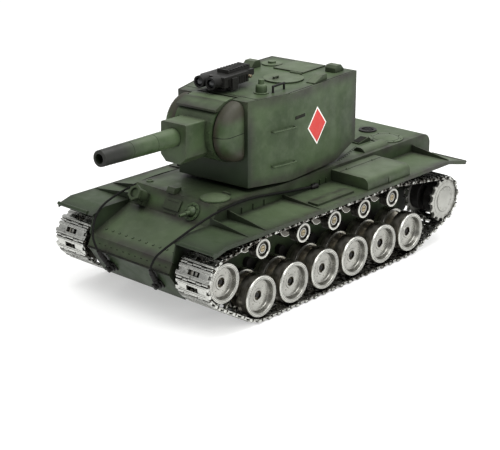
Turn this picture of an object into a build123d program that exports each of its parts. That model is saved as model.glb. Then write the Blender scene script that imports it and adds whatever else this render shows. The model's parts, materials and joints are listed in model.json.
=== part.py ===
"""One-sixteenth scale radio-controlled heavy tank with a tall box turret.

Vehicle axes: +X forward, +Y to the vehicle's left, +Z up, floor at z = 0, millimetres.
Turret parts are drawn about the turret axis with the gun straight ahead, then turned to
the traverse they rest at. Gun parts are drawn level, then raised to their rest elevation.
"""
import math
import os

from build123d import *

# ---------------------------------------------------------------- driving dimensions
HULL_HALF = 55.4            # hull side walls, flush from belly to roof
WALL = 2.0                  # moulded shell thickness
ROOF_Z = 106.6
ROOF_FRONT_X = 112.0
PLATE_FOOT = (123.5, 88.6)  # where the driver's plate meets the glacis
GLACIS_END = (173.5, 68.5)
NOSE_SEAM = (178.7, 58.0)
BELLY_Z = 27.0
BELLY_FRONT_X = 158.0
BELLY_REAR_X = -183.0
TAIL_X = -226.6
TAIL_RADIUS = 12.0
TAIL_STEP = 14.0            # hull back plate, forward of the rounded overhang
SPLIT_Z = 84.0              # joint between chassis tub and upper hull

FENDER_HALF = 106.05
FENDER_TOP = 92.0
FENDER_SHEET = 1.6
FENDER_FRONT_X = 154.5
FENDER_TIP = (171.0, 87.6)
FENDER_REAR_X = -191.5
FENDER_TAIL = (-224.0, 84.5)
FLANGE_Z = 88.2

WHEEL_COUNT = 6
WHEEL_PITCH = 47.0
WHEEL_FIRST_X = 104.0
WHEEL_Z = 26.8
WHEEL_R = 20.8
IDLER = (154.0, 55.0)
IDLER_R = 19.6
SPROCKET = (-190.5, 48.9)
SPROCKET_TIP_R = 24.6
SPROCKET_DRUM_R = 17.6
SPROCKET_TEETH = 16
ROLLER_XS = (99.5, 41.5, -5.5, -52.5, -99.5)
ROLLER_Z = 72.8
ROLLER_R = 9.8
WHEEL_FACE_Y = 103.0        # outer face of wheels and sprockets
WHEEL_BACK_Y = 66.0
DISC_WIDTH = 14.0           # each of the two discs of a double wheel
AXLE_R = 2.5
ROLLER_AXLE_R = 2.0
RUNNING_GAP = 0.05          # radial clearance of every turning fit

TRACK_INNER_Y = 62.0
TRACK_OUTER_Y = 105.0
TRACK_THICK = 4.5
TRACK_CLEAR = 1.5           # wheel rim to the middle of a link's inner face
TRACK_PITCH = 13.6
LINK_GROOVE = 1.1
HORN_HEIGHT = 6.4
HORN_WIDTH = 3.4

TURRET_X = -1.5             # turret axis
TURRET_YAW = 5.0            # rest traverse, towards the vehicle's left
TURRET_TOP = 196.4
TURRET_LOW = 108.5
TURRET_FRONT = (69.6, 42.8)
TURRET_MIDDLE = (18.6, 56.0)
TURRET_REAR = (-99.5, 54.0)
TURRET_RING_R = 46.0
RING_GAP = 0.5
TRUNNION = (69.6, 166.0)
GUN_ELEVATION = 2.25        # rest elevation
GUN_LENGTH = 158.83         # trunnion to muzzle
SHIELD_R = 31.0
SHIELD_HALF = 23.2
CHEEK_OUTER_Y = 39.0
CHEEK_R = 29.6
CHEEK_EDGE_R = 9.0
SEAT_GAP = 0.05             # paint-thick gap under pieces that sit on the turned turret
GRIP_GAP = 0.3

BATTERY_BAY = (118.0, 54.0)
COVER_SIZE = (124.0, 62.0, 1.8)
COVER_GAP = 0.35            # round the sliding battery cover
COVER_Z = BELLY_Z - COVER_GAP - COVER_SIZE[2]
SCREW_XS = (140.0, -172.0)
SCREW_Y = 44.0
SCREW_R = 1.4

GUSSETS = ((123.0, 98.6), (99.0, 100.4), (20.0, 96.0), (-194.0, 99.5))  # place and height of each
GUSSET_SHEET = 1.2
RIB_XS = (80.0, 64.0, 48.0, -36.0, -46.0)
RIVET_X = 162.0             # row across the foot of the glacis
RIVET_COUNT = 11
RIVET_PITCH = 9.2
TOOLBOX_X = (-125.0, -54.5)
TOOLBOX_Y = (HULL_HALF + 0.4, 103.0)
TOOLBOX_TOP = 103.8

HULL_HATCH = (96.7, 36.5)
HATCH_R = 14.4
VENT = (-186.0, 0.0)
VENT_R = 9.8
ENGINE_HATCH = (-175.0, 33.5)
ENGINE_HATCH_R = 18.6
ENGINE_BOLT_CIRCLE = 16.4
BOW_GUN_DROP = 9.9          # drops are measured down from the roof's front edge
BOW_GUN_Y = 27.0
BOW_BALL_R = 5.4
BOW_SOCKET_R = BOW_BALL_R + 0.4
BOW_RING_R = 9.0
BOW_BOLT_CIRCLE = BOW_RING_R - 1.6
VISOR_DROP = 9.0
STRIP_DROP = 15.6
LAMP_DROP = 10.5
LAMP_Y = -36.5
HOOK_Y = 32.0
HOOK_Z = 41.0
REAR_HOOK_Z = 67.5

SHAFT_R = 3.0
SHAFT_IN_Y = 38.0
ARM_Y = (57.0, 61.0)        # flat of the road wheel arms

BIG_HATCH = (-24.7, 15.7)
BIG_HATCH_R = 20.4
BARREL_BASE_R = 9.0
BARREL_TIP_R = 7.7
BARREL_SEAMS = (88.5, 121.0)  # from the trunnion
BORE_R = 4.6
HOUSING_FRONT = 58.5        # recoil housing, from the trunnion
HOUSING_HALF = 15.2
LIGHT_X = 44.0
LIGHT_Y = -9.0
LIGHT_TILT_Z = 206.0
LENS_OFFSETS = (-8.2, 6.4)

CABLE_R = 1.1
CABLE_Y = HULL_HALF + CABLE_R + 0.35
EYE_OUT = 3.7               # eye ring, out from the nose plate
EYE_R = 3.9
EYE_WIRE_R = 1.2
EYE_DROP = 0.4              # the eye hangs on the hook's arm
FERRULE_R = 2.0
THIMBLE_LENGTH = 25.0
LEFT_END_Y = 37.0
RIGHT_END_Y = -34.5
LEFT_ROUTE = [(-22.0, CABLE_Y + 0.6, 94.0), (8.0, CABLE_Y + 0.4, 96.8), (38.0, CABLE_Y, 101.0),
              (66.0, CABLE_Y, 104.4), (94.0, CABLE_Y, 104.6), (122.0, CABLE_Y + 0.6, 102.0),
              (148.0, CABLE_Y + 1.5, 96.8), (169.0, 58.0, 90.8), (180.0, 51.0, 82.0), (186.6, 43.0, 72.0)]
RIGHT_ROUTE = [(-22.0, -CABLE_Y - 0.6, 94.0), (8.0, -CABLE_Y - 0.4, 98.4), (38.0, -CABLE_Y, 104.0),
               (64.0, -CABLE_Y, 105.9), (90.0, -CABLE_Y, 106.0), (116.0, -CABLE_Y, 104.0),
               (140.0, -CABLE_Y - 0.6, 98.8), (157.0, -CABLE_Y + 0.4, 94.0), (170.0, -52.6, 87.0),
               (178.6, -47.0, 78.0), (185.4, -40.0, 69.5)]


# ---------------------------------------------------------------- helpers
def block(x0, x1, y0, y1, z0, z1):
    """Box between two corners."""
    centre = Pos((x0 + x1) / 2, (y0 + y1) / 2, (z0 + z1) / 2)
    return centre * Box(x1 - x0, y1 - y0, z1 - z0)


def across(points, y0, y1):
    """Extrude an x-z outline from y0 to y1."""
    face = make_face(Polyline(*[(x, y0, z) for x, z in points], close=True))
    return extrude(face, amount=y1 - y0, dir=(0, 1, 0))


def upright(points, z0, z1):
    """Extrude an x-y outline from z0 to z1."""
    face = make_face(Polyline(*[(x, y, z0) for x, y in points], close=True))
    return extrude(face, amount=z1 - z0, dir=(0, 0, 1))


def lateral(radius, x, z, y0, y1):
    """Cylinder along Y."""
    return Pos(x, (y0 + y1) / 2, z) * Rot(90, 0, 0) * Cylinder(radius, abs(y1 - y0))


def vertical(radius, x, y, z0, z1):
    """Cylinder along Z."""
    return Pos(x, y, (z0 + z1) / 2) * Cylinder(radius, z1 - z0)


def along_x(radius, x0, x1, y, z):
    """Cylinder along X."""
    return Pos((x0 + x1) / 2, y, z) * Rot(0, 90, 0) * Cylinder(radius, x1 - x0)


def turned(profile, x, z):
    """Revolve (radius, y) points about the Y line through x and z."""
    face = make_face(Polyline(*[(r, y, 0) for r, y in profile], close=True))
    return Pos(x, 0, z) * revolve(face, Axis.Y)


def dome(x, y, z, radius, height):
    """Shallow spherical cap standing on z."""
    middle = radius * 0.55
    ball_r = (radius ** 2 + height ** 2) / (2 * height)
    middle_z = height - ball_r + math.sqrt(ball_r ** 2 - middle ** 2)
    crown = ThreePointArc((radius, 0), (middle, middle_z), (0, height))
    face = make_face([Line((0, 0), (radius, 0)), crown, Line((0, height), (0, 0))])
    return Pos(x, y, z) * Rot(90, 0, 0) * revolve(face, Axis.Y)


def right_of(shape):
    """The same piece on the vehicle's right."""
    return mirror(shape, about=Plane.XZ)


def both(shape):
    """A group with one copy on each side."""
    return Compound(children=[*shape.solids(), *right_of(shape).solids()])


def group(*shapes):
    """Separate solids kept together in one node."""
    solids = []
    for shape in shapes:
        solids.extend(shape.solids())
    return Compound(children=solids)


def on_turret(shape):
    """Place a piece drawn about the turret axis, gun ahead."""
    return Pos(TURRET_X, 0, 0) * Rot(0, 0, TURRET_YAW) * shape


def on_gun(shape):
    """Place a piece drawn level on the trunnion, in the turret's own frame."""
    x, z = TRUNNION
    raised = Pos(x, 0, z) * Rot(0, -GUN_ELEVATION, 0) * Pos(-x, 0, -z) * shape
    return on_turret(raised)


def wheel_xs():
    return [WHEEL_FIRST_X - WHEEL_PITCH * k for k in range(WHEEL_COUNT)]


# ---------------------------------------------------------------- hull
def hull_outline(inset):
    """Side outline of the whole hull, moved inwards by inset, as x-z points."""
    foot_x, foot_z = PLATE_FOOT
    end_x, end_z = GLACIS_END
    seam_x, seam_z = NOSE_SEAM
    low = TAIL_X + TAIL_STEP
    return [
        (BELLY_REAR_X + inset * 0.6, BELLY_Z + inset),
        (BELLY_FRONT_X - inset * 0.6, BELLY_Z + inset),
        (seam_x - inset * 1.15, seam_z),
        (end_x - inset * 1.1, end_z - inset * 0.6),
        (foot_x - inset * 0.8, foot_z - inset),
        (ROOF_FRONT_X - inset * 0.6, ROOF_Z - inset),
        (TAIL_X + inset, ROOF_Z - inset),
        (TAIL_X + inset, 80 + inset),
        (low + inset, 75 + inset),
        (low + inset, 60 + inset * 0.5),
    ]


def hull_body():
    """Whole hull before it is split into tub and upper hull."""
    body = across(hull_outline(0), -HULL_HALF, HULL_HALF)
    top_rear = body.edges().filter_by(Axis.Y).sort_by(lambda e: e.center().Z - e.center().X)[-1]
    body = fillet(top_rear, TAIL_RADIUS)
    inner = HULL_HALF - WALL
    cavity = across(hull_outline(WALL), -inner, inner)
    inner_rear = cavity.edges().filter_by(Axis.Y).sort_by(lambda e: e.center().Z - e.center().X)[-1]
    cavity = fillet(inner_rear, TAIL_RADIUS - WALL)
    return body - cavity


def split_block():
    """Space taken by the chassis tub: everything under the joint line."""
    seam_x, seam_z = NOSE_SEAM
    return across(
        [(-260, 0), (200, 0), (200, seam_z), (150, seam_z), (128, SPLIT_Z), (-260, SPLIT_Z)],
        -80, 80,
    )


def lower_hull(body):
    """Chassis tub with its battery opening, shaft holes, screw holes and cover rails."""
    tub = body & split_block()
    shaft_hole = lateral(8.5, *SPROCKET, HULL_HALF - 4, HULL_HALF + 1)
    tub = tub - shaft_hole - right_of(shaft_hole)
    bay_x, bay_y = BATTERY_BAY[0] / 2, BATTERY_BAY[1] / 2
    tub = tub - block(-bay_x, bay_x, -bay_y, bay_y, BELLY_Z - 1, BELLY_Z + WALL + 1)
    for x in SCREW_XS:
        hole = vertical(SCREW_R, x, SCREW_Y, BELLY_Z - 1, BELLY_Z + WALL + 1)
        tub = tub - hole - right_of(hole)
    return tub + cover_rail() + right_of(cover_rail())


def cover_rail():
    """Left guide of the battery cover: a wall under the belly with a lip below the cover's edge."""
    half_x = COVER_SIZE[0] / 2
    rail_in = COVER_SIZE[1] / 2 - 1.5
    rail_out = COVER_SIZE[1] / 2 + 2.2
    lip_top = COVER_Z - COVER_GAP
    lip_low = lip_top - 1.2
    wall = block(-half_x, half_x, rail_out - 1.8, rail_out, lip_low, BELLY_Z)
    lip = block(-half_x, half_x, rail_in, rail_out, lip_low, lip_top)
    return wall + lip


def battery_cover():
    """Sliding door under the belly, with a finger ridge."""
    length, width, thick = COVER_SIZE
    door = block(-length / 2, length / 2, -width / 2, width / 2, COVER_Z, COVER_Z + thick)
    for k in range(4):
        x = length / 2 - 8 - 3 * k
        door = door + block(x - 0.6, x + 0.6, -9, 9, COVER_Z - 0.8, COVER_Z)
    return door


def upper_hull(body):
    """Roof, driver's plate, glacis, nose and upper side walls in one moulding."""
    shell = body - split_block()
    shell = shell - vertical(TURRET_RING_R + RING_GAP, TURRET_X, 0, ROOF_Z - WALL - 1, ROOF_Z + 1)
    shell = shell - vertical(VENT_R - 1.4, *VENT, ROOF_Z - WALL - 1, ROOF_Z + 1)
    shell = shell - vertical(HATCH_R - 2.0, *HULL_HATCH, ROOF_Z - WALL - 1, ROOF_Z + 1)
    shell = shell - bow_socket_cut()
    rivets = []
    for k in range(RIVET_COUNT):
        y = RIVET_PITCH * (k - (RIVET_COUNT - 1) / 2)
        rivets.append(on_glacis(RIVET_X, y, Cylinder(0.9, 1.0)))
    ribs = []
    for x in RIB_XS:
        rib = block(x - 0.6, x + 0.6, HULL_HALF - 0.2, HULL_HALF + 1.2, FENDER_TOP + 0.2, FENDER_TOP + 5.8)
        ribs.extend([rib, right_of(rib)])
    return shell + rivets + ribs


def on_glacis(x, y, shape):
    """Stand a shape on the glacis at x and y."""
    foot_x, foot_z = PLATE_FOOT
    end_x, end_z = GLACIS_END
    slope = math.degrees(math.atan2(foot_z - end_z, end_x - foot_x))
    z = foot_z - (x - foot_x) * math.tan(math.radians(slope))
    return Pos(x, y, z) * Rot(0, slope, 0) * shape


def driver_plate_lean():
    """Angle of the driver's plate from upright, in degrees."""
    foot_x, foot_z = PLATE_FOOT
    return math.degrees(math.atan2(foot_x - ROOF_FRONT_X, ROOF_Z - foot_z))


def on_driver_plate(drop, y, shape):
    """Stand a shape, drawn on +X, on the driver's plate, drop mm below the roof edge."""
    lean = driver_plate_lean()
    x = ROOF_FRONT_X + drop * math.tan(math.radians(lean))
    return Pos(x, y, ROOF_Z - drop) * Rot(0, -lean, 0) * shape


# ---------------------------------------------------------------- fenders
def fender():
    """Left mudguard: sheet, edge flange, bent ends, gussets, tread board and front roll."""
    tip_x, tip_z = FENDER_TIP
    tail_x, tail_z = FENDER_TAIL
    top = [(tail_x, tail_z), (FENDER_REAR_X, FENDER_TOP), (FENDER_FRONT_X, FENDER_TOP), (tip_x, tip_z)]
    bottom = [(x, z - FENDER_SHEET) for x, z in reversed(top)]
    sheet = across(top + bottom, HULL_HALF, FENDER_HALF)
    drop = FENDER_TOP - FLANGE_Z
    edge = [(x, z - drop) for x, z in reversed(top)]
    flange = across(top + edge, FENDER_HALF - 1.0, FENDER_HALF)
    body = sheet + flange
    roll = lateral(1.9, tip_x - 0.6, tip_z + 0.2, HULL_HALF + 8, FENDER_HALF)
    tail_roll = lateral(1.5, tail_x + 0.4, tail_z - 0.6, HULL_HALF + 6, FENDER_HALF)
    body = body + roll + tail_roll
    for x, top_z in GUSSETS:
        tri = Polyline((x, HULL_HALF, FENDER_TOP - 0.5), (x, HULL_HALF, top_z),
                       (x, HULL_HALF + 2, top_z), (x, FENDER_HALF - 2.5, FENDER_TOP + 0.6),
                       (x, FENDER_HALF - 2.5, FENDER_TOP - 0.5), close=True)
        body = body + extrude(make_face(tri), amount=GUSSET_SHEET, dir=(1, 0, 0))
    board = block(-40, 16, 84, 96.5, FENDER_TOP - 0.5, FENDER_TOP + 2.2)
    return body + board + apron()


def apron():
    """Upright plate that closes the gap between the front of the mudguard and the glacis."""
    end_x, end_z = GLACIS_END
    foot_x, foot_z = PLATE_FOOT
    tip_x, tip_z = FENDER_TIP
    under = FENDER_TOP - FENDER_SHEET / 2
    outline = [(foot_x - 2, under), (FENDER_FRONT_X, under), (tip_x - 2, tip_z - FENDER_SHEET / 2),
               (end_x + 1, end_z + 1.5), (end_x - 1, end_z - 1), (foot_x - 2, foot_z - 1)]
    return across(outline, HULL_HALF, HULL_HALF + FENDER_SHEET)


def stowage_box():
    """Left toolbox: rounded outer top edge, closed lid with two hinges and a hasp."""
    x0, x1 = TOOLBOX_X
    y0, y1 = TOOLBOX_Y
    z0, z1 = FENDER_TOP, TOOLBOX_TOP
    body = block(x0, x1, y0, y1, z0, z1)
    outer_top = body.edges().filter_by(Axis.X).group_by(Axis.Z)[-1].sort_by(Axis.Y)[-1]
    body = fillet(outer_top, 7.0)
    body = body - block(x0 + 1.5, x1 - 1.5, y0 + 1.5, y1 - 1.5, z0 - 1, z1 - 7.5)
    body = body - block(x0 - 1, x1 + 1, y0 + 10.2, y0 + 10.6, z1 - 0.5, z1 + 1)
    for x in (x0 + 14, x1 - 14):
        hinge = along_x(0.9, x - 3, x + 3, y0 + 10.4, z1 + 0.2)
        body = body + hinge
    middle = (x0 + x1) / 2
    hasp = block(middle - 1.5, middle + 1.5, y1 - 0.3, y1 + 0.7, z0 + 1, z0 + 6)
    return body + hasp


# ---------------------------------------------------------------- hull fittings
def bow_socket_cut():
    """Room for the bow gun's ball."""
    return on_driver_plate(BOW_GUN_DROP, BOW_GUN_Y, Sphere(BOW_SOCKET_R))


def hull_hatch():
    """Domed driver's hatch lid with its hinge barrel at the rear."""
    x, y = HULL_HATCH
    plug = vertical(HATCH_R - 2.3, x, y, ROOF_Z - WALL, ROOF_Z + 1)
    lid = plug + vertical(HATCH_R, x, y, ROOF_Z + 0.3, ROOF_Z + 1.5)
    lid = lid + dome(x, y, ROOF_Z + 1.5, HATCH_R - 1.5, 3.2)
    hinge_x = x - HATCH_R - 1.4
    barrel = lateral(1.3, hinge_x, ROOF_Z + 1.7, y - 4, y + 4)
    arm = block(hinge_x, x - HATCH_R + 2, y - 3, y + 3, ROOF_Z + 0.5, ROOF_Z + 1.5)
    return lid + barrel + arm


def hull_fittings():
    """Fixed painted fittings of the hull, as separate solids."""
    visor = block(0, 1.6, -10.5, 10.5, -5.5, 5.5) - block(1.1, 3, -7.5, 7.5, 2.4, 3.0)
    lower_strip = block(0, 1.0, -8, 8, -1.2, 0)
    periscope_guard = across(
        [(106.5, ROOF_Z), (114.5, ROOF_Z), (114.5, ROOF_Z + 2), (112, ROOF_Z + 5.5), (107, ROOF_Z + 5)],
        -11.5, -1.5,
    )
    guard_hinge = block(101, 106, -8.5, -4.5, ROOF_Z, ROOF_Z + 3.4)
    ring_x, ring_y = 101.4, -48.0
    filler_ring = vertical(3.6, ring_x, ring_y, ROOF_Z, ROOF_Z + 1)
    filler_ring = filler_ring - vertical(2.6, ring_x, ring_y, ROOF_Z + 0.4, ROOF_Z + 2)
    pieces = [on_driver_plate(VISOR_DROP, 0.5, visor), on_driver_plate(STRIP_DROP, 0.5, lower_strip),
              on_driver_plate(BOW_GUN_DROP, BOW_GUN_Y, bow_gun_ring()), periscope_guard, guard_hinge,
              filler_ring]
    for piece in (engine_hatch(), exhaust_cover(), intake_cover()):
        pieces.extend([piece, right_of(piece)])
    return group(*pieces)


def bow_gun_ring():
    """Bolted ring round the bow gun's ball, drawn on +X."""
    ring = Pos(0, 0, 0.7) * (Cylinder(BOW_RING_R, 1.4) - Cylinder(BOW_SOCKET_R, 3))
    for k in range(10):
        a = math.radians(36 * k + 18)
        bolt = Pos(BOW_BOLT_CIRCLE * math.cos(a), BOW_BOLT_CIRCLE * math.sin(a), 1.7) * Cylinder(0.9, 0.8)
        ring = ring + bolt
    return Rot(0, 90, 0) * ring


def engine_hatch():
    """Left engine cover: bolted disc with a low dome."""
    x, y = ENGINE_HATCH
    cover = vertical(ENGINE_HATCH_R, x, y, ROOF_Z, ROOF_Z + 0.9)
    cover = cover + dome(x, y, ROOF_Z + 0.9, ENGINE_HATCH_R - 4.5, 2.4)
    for k in range(8):
        a = math.radians(45 * k + 22.5)
        bolt_x = x + ENGINE_BOLT_CIRCLE * math.cos(a)
        bolt_y = y + ENGINE_BOLT_CIRCLE * math.sin(a)
        cover = cover + vertical(0.8, bolt_x, bolt_y, ROOF_Z + 0.9, ROOF_Z + 1.5)
    return cover


def exhaust_cover():
    """Left exhaust wedge on the engine deck."""
    outline = [(-136, ROOF_Z), (-136, ROOF_Z + 1.4), (-152, ROOF_Z + 4.6), (-156, ROOF_Z + 3), (-156, ROOF_Z)]
    return across(outline, 17.0, 27.0)


def intake_cover():
    """Left rounded air intake along the deck's edge."""
    drum = along_x(9.0, -157, -116, 43.0, ROOF_Z - 4.6)
    return drum & block(-157, -116, 30, 54, ROOF_Z, ROOF_Z + 9)


def headlamp():
    """Lamp with a hexagonal bezel on a bracket, mounted on the driver's plate."""
    shell = along_x(6.3, 4.5, 14.5, 0, 0)
    bezel = Pos(14.5, 0, 0) * Rot(0, 90, 0) * extrude(RegularPolygon(8.2, 6), amount=3.2)
    bowl = along_x(4.9, 14.0, 19.0, 0, 0)
    lens = along_x(4.9, 14.0, 15.4, 0, 0)
    bracket = block(0, 12, -3, 3, -8.6, -5.6) + block(0, 6, -4.5, 4.5, -8.6, 4.5)
    body = shell + bezel - bowl + lens + bracket
    return on_driver_plate(LAMP_DROP, LAMP_Y, body)


def bow_gun():
    """Ball and short barrel of the hull machine gun."""
    ball = Sphere(BOW_BALL_R)
    barrel = along_x(1.7, 0, 17.0, 0, 0) + along_x(2.6, 0, 9.0, 0, 0)
    bore = along_x(0.9, 12.0, 17.5, 0, 0)
    return on_driver_plate(BOW_GUN_DROP, BOW_GUN_Y, Rot(0, driver_plate_lean(), 0) * (ball + barrel - bore))


def nose_point(up, y, out):
    """Point up the lower nose plate from its hooks, standing out from the plate."""
    seam_x, seam_z = NOSE_SEAM
    run, rise = seam_x - BELLY_FRONT_X, seam_z - BELLY_Z
    length = math.hypot(run, rise)
    along_x_part, along_z_part = run / length, rise / length
    start = (HOOK_Z - BELLY_Z) / rise
    x = BELLY_FRONT_X + run * start + along_x_part * up + along_z_part * out
    z = HOOK_Z + along_z_part * up - along_x_part * out
    return (x, y, z)


def hook():
    """Foot plate, arm and upturned finger, standing on x = 0 and facing +X."""
    foot = block(0, 1.6, -4.5, 4.5, -5, 5)
    arm = block(1.6, 8.5, -1.5, 1.5, -1.5, 1.5)
    finger = block(6.3, 8.5, -1.5, 1.5, -1.5, 5.5)
    return foot + arm + finger


def tow_hooks():
    """Two front hooks on the lower nose plate and two at the rear."""
    seam_x, seam_z = NOSE_SEAM
    lean = math.degrees(math.atan2(seam_x - BELLY_FRONT_X, seam_z - BELLY_Z))
    front = Pos(*nose_point(0, HOOK_Y, 0)) * Rot(0, lean, 0) * hook()
    rear = Pos(TAIL_X + TAIL_STEP, HOOK_Y, REAR_HOOK_Z) * Rot(0, 0, 180) * hook()
    return group(both(front), both(rear))


# ---------------------------------------------------------------- running gear
def double_wheel(x, z, radius, dish):
    """Wheel of two discs with a gap between them for the track's guide horns."""
    face, back = WHEEL_FACE_Y, WHEEL_BACK_Y
    bore = AXLE_R + RUNNING_GAP
    inner = radius - 3.6
    hub = 6.2
    gap_out = face - DISC_WIDTH
    gap_in = back + DISC_WIDTH
    profile = [
        (bore, face - 3.4), (hub, face - 3.4), (hub, face - dish), (inner - 1.5, face - dish),
        (inner, face - 1.2), (inner, face), (radius - 0.6, face), (radius, face - 0.6),
        (radius, gap_out), (radius - 10.0, gap_out), (radius - 10.0, gap_in), (radius, gap_in),
        (radius, back + 0.6), (radius - 0.6, back), (inner, back), (inner - 1.5, back + 5),
        (hub + 2, back + 5), (hub + 2, back), (bore, back),
    ]
    wheel = turned(profile, x, z)
    for k in range(6):
        a = math.radians(60 * k)
        bx = x + 10.2 * math.cos(a)
        bz = z + 10.2 * math.sin(a)
        wheel = wheel + lateral(0.75, bx, bz, face - dish - 0.3, face - dish + 0.7)
    return wheel


def return_roller(x):
    """Small double roller on its stub, held by a screw."""
    face, back = 101.0, 68.0
    bore = ROLLER_AXLE_R + RUNNING_GAP
    r = ROLLER_R
    profile = [
        (bore, face - 3.0), (3.8, face - 3.0), (3.8, face - 1.8), (r - 2.6, face - 1.8), (r - 2.0, face),
        (r - 0.5, face), (r, face - 0.5), (r, face - 11), (3.4, face - 11), (3.4, back + 11),
        (r, back + 11), (r, back), (bore, back),
    ]
    return turned(profile, x, ROLLER_Z)


def roller_screws():
    """Shoulder screws that the rollers turn on, each with a spacer against the hull side."""
    screws = []
    for x in ROLLER_XS:
        head = lateral(3.0, x, ROLLER_Z, 98.5, 99.9)
        head = head - block(x - 2.4, x + 2.4, 99.3, 100.5, ROLLER_Z - 0.4, ROLLER_Z + 0.4)
        shank = lateral(ROLLER_AXLE_R, x, ROLLER_Z, HULL_HALF, 98.6)
        spacer = lateral(5.0, x, ROLLER_Z, HULL_HALF, TRACK_INNER_Y + 3)
        screw = head + shank + spacer
        screws.extend([screw, right_of(screw)])
    return group(*screws)


def sprocket():
    """Drive sprocket: two toothed discs on a drum, with its shaft into the gearbox."""
    x, z = SPROCKET
    face = WHEEL_FACE_Y
    root = SPROCKET_TIP_R - 3.4
    outer_disc = toothed_disc(x, z, root, face - 4.0, face)
    inner_disc = toothed_disc(x, z, root, WHEEL_BACK_Y, WHEEL_BACK_Y + 4.0)
    drum = lateral(SPROCKET_DRUM_R, x, z, face - 16, face - 4)
    drum = drum + lateral(SPROCKET_DRUM_R, x, z, WHEEL_BACK_Y + 4, WHEEL_BACK_Y + 14)
    neck = lateral(9.0, x, z, 79, face - 14)
    plate = lateral(13.0, x, z, face, face + 0.9)
    bolts = []
    for k in range(16):
        a = math.radians(22.5 * k)
        bolt_x, bolt_z = x + 15.8 * math.cos(a), z + 15.8 * math.sin(a)
        bolts.append(lateral(0.8, bolt_x, bolt_z, face - 0.3, face + 0.6))
    shaft = lateral(SHAFT_R, x, z, SHAFT_IN_Y, 70)
    return outer_disc + inner_disc + drum + neck + plate + bolts + shaft


def toothed_disc(x, z, root, y0, y1):
    """Flat disc with square-topped teeth."""
    disc = lateral(root, x, z, y0, y1)
    for k in range(SPROCKET_TEETH):
        angle = 360 / SPROCKET_TEETH * k
        half = 1.5
        tooth = [(root - 1.5, -half * 1.6), (SPROCKET_TIP_R, -half * 0.8),
                 (SPROCKET_TIP_R, half * 0.8), (root - 1.5, half * 1.6)]
        a = math.radians(angle)
        points = []
        for r, t in tooth:
            points.append((x + r * math.cos(a) - t * math.sin(a), z + r * math.sin(a) + t * math.cos(a)))
        disc = disc + across(points, y0, y1)
    return disc


def track_line():
    """Closed line through the inner faces of the links, clear of every wheel."""
    rounds = [(WHEEL_FIRST_X, WHEEL_Z, WHEEL_R), (wheel_xs()[-1], WHEEL_Z, WHEEL_R), (*IDLER, IDLER_R),
              (ROLLER_XS[0], ROLLER_Z, ROLLER_R), (ROLLER_XS[-1], ROLLER_Z, ROLLER_R),
              (*SPROCKET, SPROCKET_TIP_R - 4.2)]
    edges = []
    for x, z, r in rounds:
        edges.extend((Pos(x, z) * Circle(r + TRACK_CLEAR)).edges())
    return make_hull(edges).wire()


def link_points():
    """Joints between links and the outward direction at each, evenly spaced."""
    line = track_line()
    count = round(line.length / TRACK_PITCH)
    joints = [line @ (k / count) for k in range(count)]
    centre_x = sum(p.X for p in joints) / count
    centre_z = sum(p.Y for p in joints) / count
    links = []
    for k in range(count):
        a = joints[k]
        b = joints[(k + 1) % count]
        along = (b - a).normalized()
        out = Vector(along.Y, -along.X)
        middle = (a + b) / 2
        if (middle.X - centre_x) * out.X + (middle.Y - centre_z) * out.Y < 0:
            out = Vector(-out.X, -out.Y)
        links.append((a, b, along, out))
    return links


def track():
    """Left track: one closed loop of links with grooves between them and guide horns."""
    links = link_points()
    outer = []
    groove = LINK_GROOVE
    for a, b, along, out in links:
        length = (b - a).length
        start = a + along * groove
        stop = a + along * (length - groove)
        low = TRACK_THICK - 1.8
        top = TRACK_THICK
        outer.extend([a + out * low, start + out * low, start + out * top,
                      stop + out * top, stop + out * low])
    inner = [a for a, b, along, out in links]
    outer_face = make_face(Polyline(*[(p.X, TRACK_INNER_Y, p.Y) for p in outer], close=True))
    inner_face = make_face(Polyline(*[(p.X, TRACK_INNER_Y, p.Y) for p in inner], close=True))
    width = TRACK_OUTER_Y - TRACK_INNER_Y
    loop = extrude(outer_face, amount=width, dir=(0, 1, 0))
    loop = loop - extrude(inner_face, amount=width, dir=(0, 1, 0))
    middle = (TRACK_INNER_Y + TRACK_OUTER_Y) / 2 + 1.0
    horns = []
    for a, b, along, out in links:
        mid = (a + b) / 2
        half = 2.6
        points = [mid - along * half + out * 0.4, mid + along * half + out * 0.4,
                  mid + along * 0.9 - out * HORN_HEIGHT, mid - along * 0.9 - out * HORN_HEIGHT]
        horns.append(across([(p.X, p.Y) for p in points], middle - HORN_WIDTH / 2, middle + HORN_WIDTH / 2))
    loop = loop + horns
    sweep_r = SPROCKET_TIP_R + 0.35
    for y0, y1 in ((WHEEL_FACE_Y - 4.4, WHEEL_FACE_Y + 0.4), (WHEEL_BACK_Y - 0.4, WHEEL_BACK_Y + 4.4)):
        loop = loop - lateral(sweep_r, *SPROCKET, y0, y1)
    return loop


def swing_arms():
    """Trailing arms and axles that carry the road wheels, six a side, and the idler axles."""
    idler_axle = lateral(AXLE_R, *IDLER, HULL_HALF, WHEEL_FACE_Y - 6)
    idler_axle = idler_axle + lateral(7.0, *IDLER, HULL_HALF, TRACK_INNER_Y + 3)
    arms = [idler_axle, right_of(idler_axle)]
    for x in wheel_xs():
        pivot_x, pivot_z = x + 17.0, 41.0
        arm = lateral(5.0, pivot_x, pivot_z, HULL_HALF, ARM_Y[1]) + lateral(5.0, x, WHEEL_Z, *ARM_Y)
        web = upright_arm(pivot_x, pivot_z, x, WHEEL_Z)
        axle = lateral(AXLE_R, x, WHEEL_Z, ARM_Y[0], WHEEL_FACE_Y - 6)
        shoulder = lateral(4.6, x, WHEEL_Z, ARM_Y[0], WHEEL_BACK_Y - 0.5)
        arm = arm + web + axle + shoulder
        arms.extend([arm, right_of(arm)])
    return group(*arms)


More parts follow.
